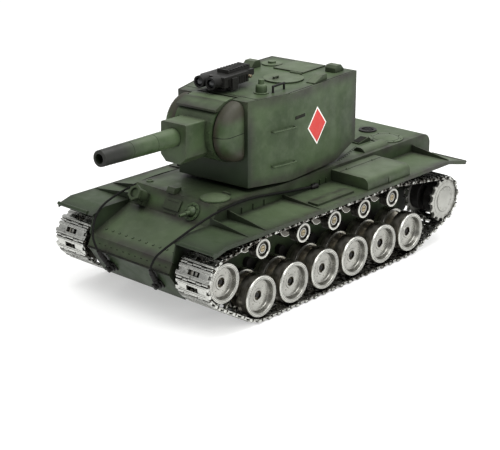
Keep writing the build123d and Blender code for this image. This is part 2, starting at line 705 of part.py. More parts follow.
def upright_arm(x0, z0, x1, z1):
    """Flat bar of an arm between two centres."""
    half_width = 3.6
    length = math.hypot(x1 - x0, z1 - z0)
    nx, nz = -(z1 - z0) / length * half_width, (x1 - x0) / length * half_width
    outline = [(x0 + nx, z0 + nz), (x1 + nx, z1 + nz), (x1 - nx, z1 - nz), (x0 - nx, z0 - nz)]
    return across(outline, *ARM_Y)


# ---------------------------------------------------------------- turret
def turret_plan(inset):
    """Plan outline of the turret: narrow front, gently bent sides, square back."""
    fx, fy = TURRET_FRONT
    mx, my = TURRET_MIDDLE
    rx, ry = TURRET_REAR
    left = [(fx - inset, fy - inset * 0.8), (mx, my - inset), (rx + inset, ry - inset)]
    return left + [(x, -y) for x, y in reversed(left)]


def turret_cut(inset):
    """Turret's side section: flat roof, level underside that rises to front and rear."""
    return across([(80, 112 + inset), (TURRET_MIDDLE[0], TURRET_LOW + inset), (-61, TURRET_LOW + inset),
                   (-110, 126.5 + inset), (-110, TURRET_TOP - inset), (80, TURRET_TOP - inset)], -80, 80)


def turret_shell():
    """Turret casing with a soft bend in each side, a visor over the gun and a ring opening."""
    body = upright(turret_plan(0), 100, 200)
    bends = body.edges().filter_by(Axis.Z).group_by(Axis.X)[1]
    body = fillet(bends, 90.0) & turret_cut(0)
    cavity = upright(turret_plan(WALL), 100, 200) & turret_cut(WALL)
    cavity = cavity - block(TURRET_FRONT[0] - 14, 90, -25, 25, TURRET_TOP - 12, 200)
    shell = body - cavity
    fx = TURRET_FRONT[0]
    visor = across([(fx - 6, TURRET_TOP), (fx + 12, TURRET_TOP), (fx + 25.4, 191.0), (fx + 25.4, 189.0),
                    (fx - 6, 189.0)], -SHIELD_HALF - 0.8, SHIELD_HALF + 0.8)
    shell = shell + visor
    gun_port = lateral(SHIELD_R + 0.8, *TRUNNION, -SHIELD_HALF - 0.6, SHIELD_HALF + 0.6)
    pin_room = lateral(3.0 + RUNNING_GAP, *TRUNNION, -SHIELD_HALF - 2, SHIELD_HALF + 2)
    shell = shell - gun_port - pin_room
    shell = shell - vertical(TURRET_RING_R - 1.0, 0, 0, TURRET_LOW - 1, TURRET_LOW + 4)
    shell = shell - vertical(BIG_HATCH_R - 2.0, *BIG_HATCH, TURRET_TOP - WALL - 1, TURRET_TOP + 1)
    return on_turret(shell)


def turret_base():
    """Turning ring: toothed skirt inside the hull and a flange that carries the turret."""
    low = 98.0
    middle = vertical(TURRET_RING_R - 3, 0, 0, low - 1, 120)
    skirt = vertical(TURRET_RING_R, 0, 0, low, TURRET_LOW) - middle
    flange = vertical(TURRET_RING_R + 5.5, 0, 0, ROOF_Z + RING_GAP, TURRET_LOW) - middle
    gear = vertical(TURRET_RING_R + 3.0, 0, 0, low, low + 3.5) - middle
    keepers = []
    for k in range(4):
        keeper = block(TURRET_RING_R - 5.5, TURRET_RING_R - 2, -4, 4, low, TURRET_LOW)
        keepers.append(Rot(0, 0, 90 * k + 45) * keeper)
    return on_turret(skirt + flange + gear + keepers)


def turret_cheeks():
    """Two rounded cheeks beside the gun shield, fixed on the turret front."""
    x, z = TRUNNION
    inner = SHIELD_HALF + 1.0
    corner = CHEEK_OUTER_Y - CHEEK_EDGE_R
    outline = Polyline((0, CHEEK_OUTER_Y), (0, inner), (CHEEK_R, inner), (CHEEK_R, corner))
    bend = TangentArc((CHEEK_R, corner), (CHEEK_R - CHEEK_EDGE_R, CHEEK_OUTER_Y), tangent=(0, 1))
    face = make_face([outline, bend, Line((CHEEK_R - CHEEK_EDGE_R, CHEEK_OUTER_Y), (0, CHEEK_OUTER_Y))])
    half = Rot(0, -90, 0) * revolve(face, Axis.Y, revolution_arc=180)
    cheek = Pos(x + SEAT_GAP, 0, z) * half
    return group(on_turret(cheek), on_turret(right_of(cheek)))


def gun_mantlet():
    """Round shield on the trunnions with the recoil housing in front of it."""
    x, z = TRUNNION
    shield = lateral(SHIELD_R, x, z, -SHIELD_HALF, SHIELD_HALF)
    shield = shield - lateral(SHIELD_R - 3.0, x, z, -SHIELD_HALF + 3, SHIELD_HALF - 3)
    shield = shield - block(0, x - 6, -60, 60, 100, 220)
    pin = lateral(3.0, x, z, SHIELD_HALF - 1, SHIELD_HALF + 0.7)
    bore = along_x(BARREL_BASE_R + 0.35, x - 2, x + HOUSING_FRONT + 1, 0, z)
    bolts = []
    for k in range(5):
        for y in (-SHIELD_HALF + 3.2, SHIELD_HALF - 3.2):
            head = along_x(0.9, SHIELD_R - 0.8, SHIELD_R + 0.5, y, 0)
            bolts.append(Pos(x, 0, z) * Rot(0, 52 - 19 * k, 0) * head)
    return on_gun(shield + recoil_housing() + pin + right_of(pin) + bolts - bore)


def recoil_housing():
    """Box in front of the shield, with its lower edges cut away."""
    x, z = TRUNNION
    half, top, low, cut = HOUSING_HALF, 14.0, -24.5, 6.5
    back = 24.5
    profile = [(-half, top), (half, top), (half, low + cut), (half - cut, low), (-half + cut, low),
               (-half, low + cut)]
    face = make_face(Polyline(*[(x + back, y, z + dz) for y, dz in profile], close=True))
    housing = extrude(face, amount=HOUSING_FRONT - back, dir=(1, 0, 0))
    return fillet(housing.edges().filter_by(Axis.X).group_by(Axis.Z)[-1], 1.6)


def gun_barrel():
    """Tapered barrel that slides back in the recoil housing, with two ring joints."""
    x, z = TRUNNION
    start = x + 30.0
    end = x + GUN_LENGTH
    straight = x + 66.0
    profile = [(0, start), (BARREL_BASE_R, start), (BARREL_BASE_R, straight)]
    for seam in [x + reach for reach in BARREL_SEAMS]:
        share = (seam - straight) / (end - straight)
        r = BARREL_BASE_R + (BARREL_TIP_R - BARREL_BASE_R) * share
        profile.extend([(r, seam - 0.3), (r - 0.35, seam - 0.3), (r - 0.35, seam + 0.3), (r, seam + 0.3)])
    profile.extend([(BARREL_TIP_R, end - 0.8), (BARREL_TIP_R - 0.8, end), (BORE_R, end),
                    (BORE_R, start + 4), (0, start + 4)])
    face = make_face(Polyline(*[(r, y, 0) for r, y in profile], close=True))
    tube = revolve(face, Axis.Y)
    return on_gun(Pos(0, 0, z) * Rot(0, 0, -90) * tube)


def turret_hatch():
    """Large round roof hatch with a pull handle and a hinge at the rear."""
    x, y = BIG_HATCH
    lid = vertical(BIG_HATCH_R, x, y, TURRET_TOP + 0.3, TURRET_TOP + 1.6)
    lid = lid + vertical(BIG_HATCH_R - 2.4, x, y, TURRET_TOP - 1.8, TURRET_TOP + 1.0)
    handle = block(x + 4, x + 12, y - 4.8, y - 2.8, TURRET_TOP + 1.6, TURRET_TOP + 4.0)
    handle = handle - block(x + 5.5, x + 10.5, y - 6, y - 1, TURRET_TOP + 1.6, TURRET_TOP + 2.8)
    barrel = lateral(1.3, x - BIG_HATCH_R - 1.2, TURRET_TOP + 1.9, y - 7, y + 7)
    arm = block(x - BIG_HATCH_R - 1.2, x - BIG_HATCH_R + 3, y - 5, y + 5, TURRET_TOP + 0.6, TURRET_TOP + 1.6)
    return on_turret(lid + handle + barrel + arm)


def turret_fittings():
    """Roof plate, periscope guards, dome periscope, small hatch, rails and hand grips."""
    top = TURRET_TOP + SEAT_GAP
    pieces = []
    plate = block(-94, -54, -18.8, 18.8, top, top + 1.4)
    pieces.append(plate)
    peri_x, peri_y = 32.8, 31.0
    bullet = vertical(5.6, peri_x, peri_y, top, top + 9)
    bullet = fillet(bullet.edges().group_by(Axis.Z)[-1], 3.0)
    bullet = bullet + vertical(3.0, peri_x, peri_y, top + 8, top + 13.5)
    bullet = bullet + vertical(7.4, peri_x, peri_y, top, top + 0.9)
    pieces.append(bullet)
    small = vertical(11.0, -69.4, -31.8, top, top + 1.2) + vertical(4.2, -69.4, -31.8, top + 1, top + 3.4)
    pieces.append(small)
    guard = across([(-8, 0), (8, 0), (8, 2), (2.5, 7.2), (-5.5, 7.2), (-8, 4.5)], -6.2, 6.2)
    pieces.append(Pos(-46, -41, top) * guard)
    pieces.append(Pos(-84, 37, top) * Rot(0, 0, 180) * guard)
    wedge = across([(-13, 0), (12, 0), (12, 0.9), (-4, 5.6), (-13, 5.6)], -5.0, 5.0)
    pieces.append(Pos(-38, 46.4, top) * Rot(0, 0, 5.5) * wedge)
    pieces.append(Pos(0, 0, top) * rail(8, 26, 40, 6.0, 0.8))
    for z in (162.5, 127.5):
        pieces.extend([side_grip(z), right_of(side_grip(z))])
    return group(*[on_turret(piece) for piece in pieces])


def rail(x0, x1, y, height, radius):
    """Wire handrail standing on z = 0 along X."""
    path = FilletPolyline((x0, y, 0), (x0, y, height), (x1, y, height), (x1, y, 0), radius=1.6)
    return sweep(Plane(path @ 0, z_dir=path % 0) * Circle(radius), path)


def side_grip(z):
    """Hand grip that follows the bend in the turret's side."""
    front, middle, rear = (41.5, side_y(41.5)), (27.0, side_y(27.0)), (12.5, side_y(12.5))
    stand_off = 3.6
    route = [(front[0], front[1] + GRIP_GAP, z)]
    for x, y in (front, middle, rear):
        route.append((x, y + stand_off, z))
    route.append((rear[0], rear[1] + GRIP_GAP, z))
    path = FilletPolyline(*route, radius=1.6)
    return sweep(Plane(path @ 0, z_dir=path % 0) * Circle(0.8), path)


def side_y(x):
    """How far out the turret's side stands at x."""
    fx, fy = TURRET_FRONT
    mx, my = TURRET_MIDDLE
    rx, ry = TURRET_REAR
    if x > mx:
        return fy + (my - fy) * (fx - x) / (fx - mx)
    return my + (ry - my) * (mx - x) / (mx - rx)


def light_base():
    """Swivel base and yoke of the twin-lens unit."""
    top = TURRET_TOP
    disc = vertical(9.0, LIGHT_X, LIGHT_Y, top + 0.3, top + 1.9)
    disc = disc + vertical(3.0, LIGHT_X, LIGHT_Y, top + 1.5, top + 3.4)
    cross = block(LIGHT_X - 4, LIGHT_X + 4, LIGHT_Y - 17.4, LIGHT_Y + 17.4, top + 1.9, top + 3.4)
    ears = []
    for side in (1, -1):
        y = LIGHT_Y + side * 16.4
        ear = block(LIGHT_X - 4, LIGHT_X + 4, y - 1, y + 1, top + 1.9, LIGHT_TILT_Z + 4)
        ears.append(ear - lateral(2.0 + RUNNING_GAP, LIGHT_X, LIGHT_TILT_Z, y - 2, y + 2))
    return on_turret(disc + cross + ears)


def light_head():
    """Ribbed body with a slotted rail on top and two lens tubes in front."""
    y0, y1 = LIGHT_Y - 15.0, LIGHT_Y + 15.0
    x0, x1 = LIGHT_X - 38, LIGHT_X + 14
    low, high = LIGHT_TILT_Z - 4.3, LIGHT_TILT_Z + 6.0
    body = block(x0 + 14, x1, y0, y1, low, high)
    tail = across([(x0, low + 4), (x0 + 15, low), (x0 + 15, high), (x0, high - 1)], y0 + 4, y1 - 4)
    body = body + tail
    for k in range(9):
        x = x0 + 18 + 3.4 * k
        for side in (1, -1):
            y = LIGHT_Y + side * 15.0
            body = body - block(x - 0.7, x + 0.7, y - 1.0, y + 1.0, low - 1, high - 2.5)
    rail_top = high + 3.4
    body = body + block(x0 + 2, x1 - 16, LIGHT_Y - 7, LIGHT_Y + 7, high - 1.5, rail_top)
    for k in range(7):
        x = x0 + 6 + 4.4 * k
        body = body - block(x - 1.0, x + 1.0, LIGHT_Y - 8, LIGHT_Y + 8, rail_top - 1.4, rail_top + 1)
    for y in [LIGHT_Y + offset for offset in LENS_OFFSETS]:
        tube = along_x(6.0, x1 - 2, x1 + 11, y, LIGHT_TILT_Z + 1.2)
        tube = tube - along_x(4.4, x1 + 8, x1 + 12, y, LIGHT_TILT_Z + 1.2)
        tube = tube + along_x(2.4, x1 + 7, x1 + 9.2, y, LIGHT_TILT_Z + 1.2)
        body = body + tube
    pins = lateral(2.0, LIGHT_X, LIGHT_TILT_Z, LIGHT_Y - 17.4, LIGHT_Y + 17.4)
    return on_turret(body + pins)


# ---------------------------------------------------------------- inside the hull and turret
def battery_pack():
    """Seven-cell pack in two rows, wrapped in film."""
    cells = []
    for row in (0, 1):
        for k in range(3 + row):
            y = -20.4 + 13.6 * k + (6.8 if row == 0 else 0)
            cells.append(along_x(6.8, -54, 54, y, BELLY_Z + 8.4 + 11.8 * row))
    wrap = cells[0]
    for cell in cells[1:]:
        wrap = wrap + cell
    return wrap


def drive_gearbox():
    """Left motor and reduction gearbox with the sprocket shaft's bearing."""
    x, z = SPROCKET
    case = across([(x - 8, 66), (x - 8, 50), (x + 7, 32.5), (x + 47, 32.5), (x + 47, 66)], 8, 48)
    boss = lateral(6.0, x, z, 47, 53)
    motor = along_x(12.0, x + 46, x + 92, 26, 50)
    bore = lateral(SHAFT_R + RUNNING_GAP, x, z, SHAFT_IN_Y - 1, 54)
    return case + boss + motor - bore


def control_board():
    """Receiver and motor-control board with its chips, sockets and mounting posts."""
    z = 78.0
    board = block(60, 118, -30, 30, z, z + 1.6)
    parts = [block(70, 84, -10, 4, z + 1.6, z + 3.4), block(92, 104, -24, -14, z + 1.6, z + 7),
             block(92, 104, -8, 2, z + 1.6, z + 7), block(94, 112, 10, 24, z + 1.6, z + 9)]
    posts = []
    for x in (64, 114):
        for y in (-26, 26):
            posts.append(vertical(2.4, x, y, BELLY_Z + WALL, z))
    return board + parts + posts


def speaker():
    """Round loudspeaker standing on the belly in front of the battery."""
    x, floor = 100.0, BELLY_Z + WALL
    return vertical(20.0, x, 0, floor, floor + 3) + vertical(11.0, x, 0, floor + 3, floor + 12)


def traverse_motor():
    """Turret motor with a pinion beside the ring gear."""
    x = TURRET_X - TURRET_RING_R - 14.5
    motor = vertical(10.0, x, 0, 60, 92)
    pinion = vertical(8.0, x, 0, 96, 101.5) + vertical(2.0, x, 0, 90, 98)
    plate = block(x - 14, x + 12, -14, 14, 92, 94)
    posts = [block(x - 14, x - 10, y - 2, y + 2, 94, ROOF_Z - WALL) for y in (-12, 12)]
    return motor + pinion + plate + posts


def firing_unit():
    """Pellet gun mechanism behind the barrel, carried by the shield's trunnions."""
    x, z = TRUNNION
    case = block(x - 62, x - 6, -12, 12, z - 14, z + 10)
    neck = along_x(7.0, x - 8, x + 16.0, 0, z)
    motor = along_x(9.0, x - 62, x - 24, 0, z - 20)
    web = block(x - 6.5, x + 3, -SHIELD_HALF + 3, SHIELD_HALF - 3, z - 4, z + 4)
    return on_gun(case + neck + motor + web)


def smoke_generator():
    """Oil tank with a heater tube that ends in the round deck vent."""
    x, y = VENT
    ring = vertical(VENT_R, x, y, ROOF_Z, ROOF_Z + 1.6) + vertical(VENT_R - 1.6, x, y, ROOF_Z - 4, ROOF_Z + 1)
    ring = ring - vertical(VENT_R - 3.0, x, y, ROOF_Z - 3, ROOF_Z + 3)
    reach = VENT_R - 2
    bars = []
    for bar_y in (y - 3, y, y + 3):
        bars.append(block(x - reach, x + reach, bar_y - 0.6, bar_y + 0.6, ROOF_Z + 0.2, ROOF_Z + 1.4))
    pipe = vertical(3.5, x, y, 90, ROOF_Z - 3)
    tank = block(x - 12, x + 18, y - 14, y + 14, 72, 91)
    return ring + bars + pipe + tank


def hull_screws():
    """Four chassis screws let into the belly."""
    screws = []
    for x in SCREW_XS:
        screw = vertical(3.2, x, SCREW_Y, BELLY_Z - 0.9, BELLY_Z)
        screw = screw + vertical(SCREW_R, x, SCREW_Y, BELLY_Z, BELLY_Z + 3.5)
        slot = block(x - 2.2, x + 2.2, SCREW_Y - 0.4, SCREW_Y + 0.4, BELLY_Z - 2, BELLY_Z - 0.5)
        screws.append(both(screw - slot))
    return group(*screws)


# ---------------------------------------------------------------- tow cables
def corner_radii(route, limit_share=0.45):
    """Largest tangent arc at each corner of a route."""
    radii = []
    for before, here, after in zip(route, route[1:], route[2:]):
        a = Vector(*here) - Vector(*before)
        b = Vector(*after) - Vector(*here)
        turn = math.radians(a.get_angle(b))
        radii.append(limit_share * min(a.length, b.length) / math.tan(turn / 2))
    return radii


def tow_cable(name, route, end_y, hook_y):
    """Wire rope with a thimble on the front hook and an end socket on the hull side."""
    route = [*route, nose_point(THIMBLE_LENGTH, end_y, EYE_OUT)]
    radii = corner_radii(route)
    path = FilletPolyline(*route, radius=radii)
    rope = sweep(Plane(path @ 0, z_dir=path % 0) * Circle(CABLE_R), path)
    expected = math.pi * CABLE_R ** 2 * path.length
    print(f"{name}: length {path.length:.1f}, volume {rope.volume:.1f} of {expected:.1f}, radii",
          [round(r, 1) for r in radii])
    side = math.copysign(1, hook_y)
    start = Vector(*route[0])
    socket = Pos(start.X - 2.8, start.Y, start.Z) * Rot(0, 90, 0) * Cylinder(1.6, 6.6)
    lug_y = sorted((side * HULL_HALF, start.Y))
    lug = block(start.X - 5.5, start.X - 3.0, *lug_y, start.Z - 1.2, start.Z + 1.2)
    return rope + thimble(Vector(*route[-1]), hook_y) + socket + lug


def thimble(top, hook_y):
    """Tapered ferrule down to an eye that rings the hook's arm, flat to the nose plate."""
    seam_x, seam_z = NOSE_SEAM
    rise = math.hypot(seam_x - BELLY_FRONT_X, seam_z - BELLY_Z)
    outward = Vector((seam_z - BELLY_Z) / rise, 0, -(seam_x - BELLY_FRONT_X) / rise)
    centre = Vector(*nose_point(EYE_DROP, hook_y, EYE_OUT))
    reach = top - centre
    eye = Plane(centre, z_dir=outward) * Torus(EYE_R, EYE_WIRE_R)
    foot = centre + reach.normalized() * (EYE_R - 0.4)
    ferrule = Plane(foot, z_dir=reach) * extrude(Circle(FERRULE_R), amount=(top - foot).length)
    return eye + ferrule


# ---------------------------------------------------------------- write the parts
def all_parts():
    body = hull_body()
    parts = {
        "lower_hull": lower_hull(body),
        "upper_hull": upper_hull(body),
        "left_fender": fender(),
        "right_fender": right_of(fender()),
        "stowage_boxes": both(stowage_box()),
        "hull_hatch": hull_hatch(),
        "hull_fittings": hull_fittings(),
        "headlamp": headlamp(),
        "bow_gun": bow_gun(),
        "smoke_generator": smoke_generator(),
        "tow_hooks": tow_hooks(),
        "left_tow_cable": tow_cable("left tow cable", LEFT_ROUTE, LEFT_END_Y, HOOK_Y),
        "right_tow_cable": tow_cable("right tow cable", RIGHT_ROUTE, RIGHT_END_Y, -HOOK_Y),
        "swing_arms": swing_arms(),
        "roller_screws": roller_screws(),
        "turret_shell": turret_shell(),
        "turret_base": turret_base(),
        "turret_cheeks": turret_cheeks(),
        "gun_mantlet": gun_mantlet(),
        "gun_barrel": gun_barrel(),
        "turret_hatch": turret_hatch(),
        "turret_fittings": turret_fittings(),
        "light_base": light_base(),
        "light_head": light_head(),
        "battery_pack": battery_pack(),
        "battery_cover": battery_cover(),
        "drive_gearboxes": both(drive_gearbox()),
        "control_board": control_board(),
        "speaker": speaker(),
        "traverse_motor": traverse_motor(),
        "firing_unit": firing_unit(),
        "hull_screws": hull_screws(),
    }
    left = {"track": track(), "idler": double_wheel(*IDLER, IDLER_R, 4.5), "sprocket": sprocket()}
    for number, x in enumerate(wheel_xs(), 1):
        left[f"road_wheel_{number}"] = double_wheel(x, WHEEL_Z, WHEEL_R, 5.0)
    for number, x in enumerate(ROLLER_XS, 1):
        left[f"return_roller_{number}"] = return_roller(x)
    for name, shape in left.items():
        parts[f"left_{name}"] = shape
        parts[f"right_{name}"] = right_of(shape)
    return parts


os.makedirs("parts", exist_ok=True)
for node, shape in all_parts().items():
    export_step(shape, f"parts/{node}.step")
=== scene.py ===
import json
import math

import bmesh
import bpy
import numpy as np
from mathutils import Matrix, Vector
from mathutils.kdtree import KDTree


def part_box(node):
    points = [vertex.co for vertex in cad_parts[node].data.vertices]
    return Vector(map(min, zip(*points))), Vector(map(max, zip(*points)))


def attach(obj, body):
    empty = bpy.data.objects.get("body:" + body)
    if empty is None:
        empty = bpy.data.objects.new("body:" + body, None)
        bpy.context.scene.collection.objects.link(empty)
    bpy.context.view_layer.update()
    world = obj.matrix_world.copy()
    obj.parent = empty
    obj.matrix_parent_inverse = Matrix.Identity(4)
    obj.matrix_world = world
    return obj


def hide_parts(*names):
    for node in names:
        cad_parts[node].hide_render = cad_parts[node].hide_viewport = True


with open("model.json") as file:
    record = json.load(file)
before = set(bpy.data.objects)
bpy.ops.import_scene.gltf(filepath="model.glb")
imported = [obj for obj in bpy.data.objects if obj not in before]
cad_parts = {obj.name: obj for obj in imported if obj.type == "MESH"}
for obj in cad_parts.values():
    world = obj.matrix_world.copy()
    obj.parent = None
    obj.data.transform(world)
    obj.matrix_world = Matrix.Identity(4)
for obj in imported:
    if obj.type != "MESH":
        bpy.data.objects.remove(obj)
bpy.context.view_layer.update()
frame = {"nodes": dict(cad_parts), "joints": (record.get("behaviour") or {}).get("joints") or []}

MM = 0.001                        # everything is in metres, apart from the cable routes

# ---------------------------------------------------------------- view
CAMERA_PLACE = (0.998866, 0.903530, 0.535047)
CAMERA_BACK = (0.694471, 0.632975, 0.341921)
LENS = 100.15
SENSOR = 36.0

# ---------------------------------------------------------------- places read from the frame
SIDES = {"left": 1, "right": -1}
TURRET_YAW = math.radians(5.0)


def joint_place(name):
    """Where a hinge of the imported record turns."""
    for joint in frame["joints"]:
        if joint["name"] == name:
            return Vector(joint["pos_m"])
    raise ValueError(name)


TURRET_AXIS = joint_place("turret_traverse")
TURRET_FRAME = Matrix.Translation((TURRET_AXIS.x, 0, 0)) @ Matrix.Rotation(TURRET_YAW, 4, "Z")


# ---------------------------------------------------------------- material helper
class Shader:
    """A material's node tree, with short calls for the nodes used here."""

    STEADY = (0.3, 0.7)               # the part of a noise's range that its values really fill

    def __init__(self, name):
        self.material = bpy.data.materials.new(name)
        self.material.use_nodes = True
        self.tree = self.material.node_tree
        self.tree.nodes.clear()
        self.out = self.tree.nodes.new("ShaderNodeOutputMaterial")
        self.base = self.tree.nodes.new("ShaderNodeBsdfPrincipled")
        self.tree.links.new(self.base.outputs[0], self.out.inputs[0])
        self.place = self.tree.nodes.new("ShaderNodeTexCoord").outputs["Object"]

    def feed(self, socket, value):
        """Link a node's output to a socket, or set a plain value on it."""
        if isinstance(value, bpy.types.NodeSocket):
            self.tree.links.new(value, socket)
        else:
            socket.default_value = value

    def set(self, **values):
        for name, value in values.items():
            self.feed(self.base.inputs[name.replace("_", " ")], value)

    def math(self, kind, a, b=0.0):
        node = self.tree.nodes.new("ShaderNodeMath")
        node.operation = kind
        for socket, value in zip(node.inputs, (a, b)):
            self.feed(socket, value)
        return node.outputs[0]

    def noise(self, scale, detail=3.0, rough=0.5, stretch=None):
        node = self.tree.nodes.new("ShaderNodeTexNoise")
        node.inputs["Scale"].default_value = scale
        node.inputs["Detail"].default_value = detail
        node.inputs["Roughness"].default_value = rough
        source = self.place
        if stretch:
            mapping = self.tree.nodes.new("ShaderNodeMapping")
            mapping.inputs["Scale"].default_value = stretch
            self.feed(mapping.inputs["Vector"], source)
            source = mapping.outputs[0]
        self.feed(node.inputs["Vector"], source)
        return node.outputs["Fac"]

    def span(self, value, low, high, start=0.0, end=1.0):
        """Smooth step of a value from low..high to start..end."""
        node = self.tree.nodes.new("ShaderNodeMapRange")
        node.interpolation_type = "SMOOTHSTEP"
        for name, number in (("Value", value), ("From Min", low), ("From Max", high),
                             ("To Min", start), ("To Max", end)):
            self.feed(node.inputs[name], number)
        return node.outputs[0]

    def mix(self, share, a, b):
        node = self.tree.nodes.new("ShaderNodeMix")
        node.data_type = "RGBA"
        self.feed(node.inputs[0], share)
        for socket, value in ((node.inputs[6], a), (node.inputs[7], b)):
            self.feed(socket, (*value, 1.0) if isinstance(value, tuple) else value)
        return node.outputs[2]

    def attribute(self, name):
        node = self.tree.nodes.new("ShaderNodeAttribute")
        node.attribute_name = name
        return node.outputs["Fac"]

    def axis(self, index, place=None):
        node = self.tree.nodes.new("ShaderNodeSeparateXYZ")
        self.feed(node.inputs[0], place or self.place)
        return node.outputs[index]

    def openness(self, distance):
        """1 in the open, falling towards 0 in corners and recesses, where the materials paint shade by it."""
        node = self.tree.nodes.new("ShaderNodeAmbientOcclusion")
        node.samples = 12
        node.inputs["Distance"].default_value = distance
        return node.outputs["AO"]

    def facing_up(self):
        geometry = self.tree.nodes.new("ShaderNodeNewGeometry")
        return self.axis(2, geometry.outputs["Normal"])

    def bump(self, height, distance, strength=0.5):
        node = self.tree.nodes.new("ShaderNodeBump")
        node.inputs["Distance"].default_value = distance
        node.inputs["Strength"].default_value = strength
        self.feed(node.inputs["Height"], height)
        self.feed(self.base.inputs["Normal"], node.outputs[0])


# ---------------------------------------------------------------- materials
PAINT = (0.040, 0.065, 0.026)
PAINT_DEEP = (0.021, 0.037, 0.013)
PAINT_PALE = (0.098, 0.126, 0.074)
AIRBRUSH = (0.019, 0.016, 0.014)
# colour of the painted shade in the paint's corners and recesses
RECESS_SHADE = (0.006, 0.009, 0.004)
# colour of the painted shade on the turret's front and the hull's front
DEEP_SHADE = (0.008, 0.018, 0.006)
MUZZLE_SHADE = (0.009, 0.009, 0.008)
CHEEK_SHADE = (0.026, 0.021, 0.015)
# colour of the painted shade in the wheels' dishes
WHEEL_DISH_SHADE = (0.070, 0.064, 0.054)
WHEEL_CORNER_SHADE = (0.100, 0.096, 0.086)
PLASTIC_DUST = (0.034, 0.033, 0.030)

# Where each darkening starts and where it is full, along one axis: painted shade on the turret's front,
# painted shade and airbrush on the hull's front, airbrush on the barrel and the cheeks.
TURRET_FRONT = (0.0630, 0.0680)
BELOW_VISOR = (0.163, 0.178)
HULL_FRONT = (0.020, 0.185)
BARREL_FRONT = (0.168, 0.208)
CHEEK_TOP = (0.180, 0.192)
CHEEK_FOOT = (0.147, 0.160)
CHEEK_INSIDE = (0.0310, 0.0390)
CHEEK_MIDDLE = 0.0075             # how far the turned gun stands to the left where the cheeks are


def green_paint(name, airbrush=1.0, shade=None, shade_colour=DEEP_SHADE, sunlit=0.30):
    """Satin green paint with soft mottling and dark airbrushing along edges, a painted highlight on faces
    turned up and painted shade in the corners.
    """
    s = Shader(name)
    broad = s.noise(16.0, 4.0, 0.55)
    fine = s.noise(95.0, 3.0, 0.6)
    colour = s.mix(s.span(broad, 0.34, 0.66), PAINT_DEEP, PAINT)
    colour = s.mix(s.span(fine, 0.35, 0.75, 0.0, 0.22), colour, PAINT_PALE)
    # faces turned up are painted paler, as much as sunlit gives: a painted highlight from the light above
    colour = s.mix(s.span(s.facing_up(), 0.45, 0.98, 0.0, sunlit), colour, PAINT_PALE)
    ragged = s.span(s.noise(38.0, 4.0, 0.6), 0.28, 0.72, 0.35, 1.0)
    edge = s.math("MULTIPLY", s.attribute("edge"), ragged)
    colour = s.mix(s.math("MULTIPLY", edge, airbrush), colour, AIRBRUSH)
    if shade:
        colour = s.mix(shade(s), colour, shade_colour)
    # painted shade in corners and recesses, where little of the surroundings is open
    colour = s.mix(s.span(s.openness(0.034), 0.22, 0.84, 0.94, 0.0), colour, RECESS_SHADE)
    grain = s.noise(1500.0, 2.0, 0.5)
    s.set(Base_Color=colour, Specular_IOR_Level=0.28, Roughness=s.span(s.noise(60.0), *s.STEADY, 0.42, 0.58))
    s.bump(s.math("ADD", s.math("MULTIPLY", grain, 0.35), fine), 0.00010)
    return s.material


def turret_front_shade(s):
    """Painted shade on the turret's front below the visor."""
    ahead = s.math("ADD", s.axis(0), s.math("MULTIPLY", s.axis(1), math.tan(TURRET_YAW)))
    front = s.span(ahead, *TURRET_FRONT, 0.0, 0.75)
    return s.math("MULTIPLY", front, s.span(s.axis(2), *BELOW_VISOR, 1.0, 0.0))


def hull_front_shade(s):
    """Painted shade that grows along the front half of the hull, standing also for the front's darker
    airbrushing.
    """
    return s.span(s.axis(0), *HULL_FRONT, 0.0, 0.62)


def barrel_shade(s):
    """Grows along the barrel and is full a little behind the muzzle."""
    return s.span(s.axis(0), *BARREL_FRONT, 0.0, 0.96)


def cheek_shade(s):
    """Brown shading over the top, the foot and the inner side of each cheek."""
    soft = s.math("MULTIPLY", s.noise(30.0), 0.012)
    height = s.math("ADD", s.axis(2), soft)
    ends = s.math("MAXIMUM", s.span(height, *CHEEK_TOP, 0.0, 0.85), s.span(height, *CHEEK_FOOT, 0.85, 0.0))
    outwards = s.math("ADD", s.math("ABSOLUTE", s.math("SUBTRACT", s.axis(1), CHEEK_MIDDLE)), soft)
    return s.math("MAXIMUM", ends, s.span(outwards, *CHEEK_INSIDE, 0.94, 0.0))


def wheel_metal(name, colour, low, high):
    """Turned bare metal: fine rings about the wheel's own axis, slight stains, painted shade in the corners
    and in the dish.
    """
    s = Shader(name)
    x, z = s.axis(0), s.axis(2)
    radius = s.math("SQRT", s.math("ADD", s.math("MULTIPLY", x, x), s.math("MULTIPLY", z, z)))
    ring = s.math("SINE", s.math("MULTIPLY", radius, 9000.0))
    stain = s.noise(60.0)
    # painted shade in the dish, stored on the wheel and broken up by the stains
    dish_shade = s.math("MULTIPLY", s.attribute("dish_shade"), s.span(stain, 0.25, 0.7, 0.8, 1.0))
    base = s.mix(s.span(stain, 0.38, 0.70, 0.0, 0.45), colour, scaled(colour, 0.74))
    # painted shade in the wheel's corners, where little of the surroundings is open
    base = s.mix(s.span(s.openness(0.010), 0.1, 0.9, 0.80, 0.0), base, WHEEL_CORNER_SHADE)
    s.set(Base_Color=s.mix(dish_shade, base, WHEEL_DISH_SHADE), Metallic=1.0,
          Roughness=s.span(stain, *s.STEADY, low, high))
    s.bump(s.math("ADD", s.math("MULTIPLY", ring, 0.3), stain), 0.00002)
    return s.material


def tread_metal(name, low, high, worn):
    """Dark burnished running surface with streaks round the wheel."""
    s = Shader(name)
    streak = s.noise(60.0, 4.0, 0.65, (1.0, 18.0, 1.0))
    patch = s.noise(90.0, 4.0, 0.6)
    colour = s.mix(s.span(streak, 0.35, 0.65), low, high)
    colour = s.mix(s.span(patch, 0.46, 0.72, 0.0, 0.60), colour, worn)
    s.set(Base_Color=colour, Metallic=1.0, Roughness=s.span(patch, *s.STEADY, 0.24, 0.42))
    s.bump(streak, 0.00004)
    return s.material


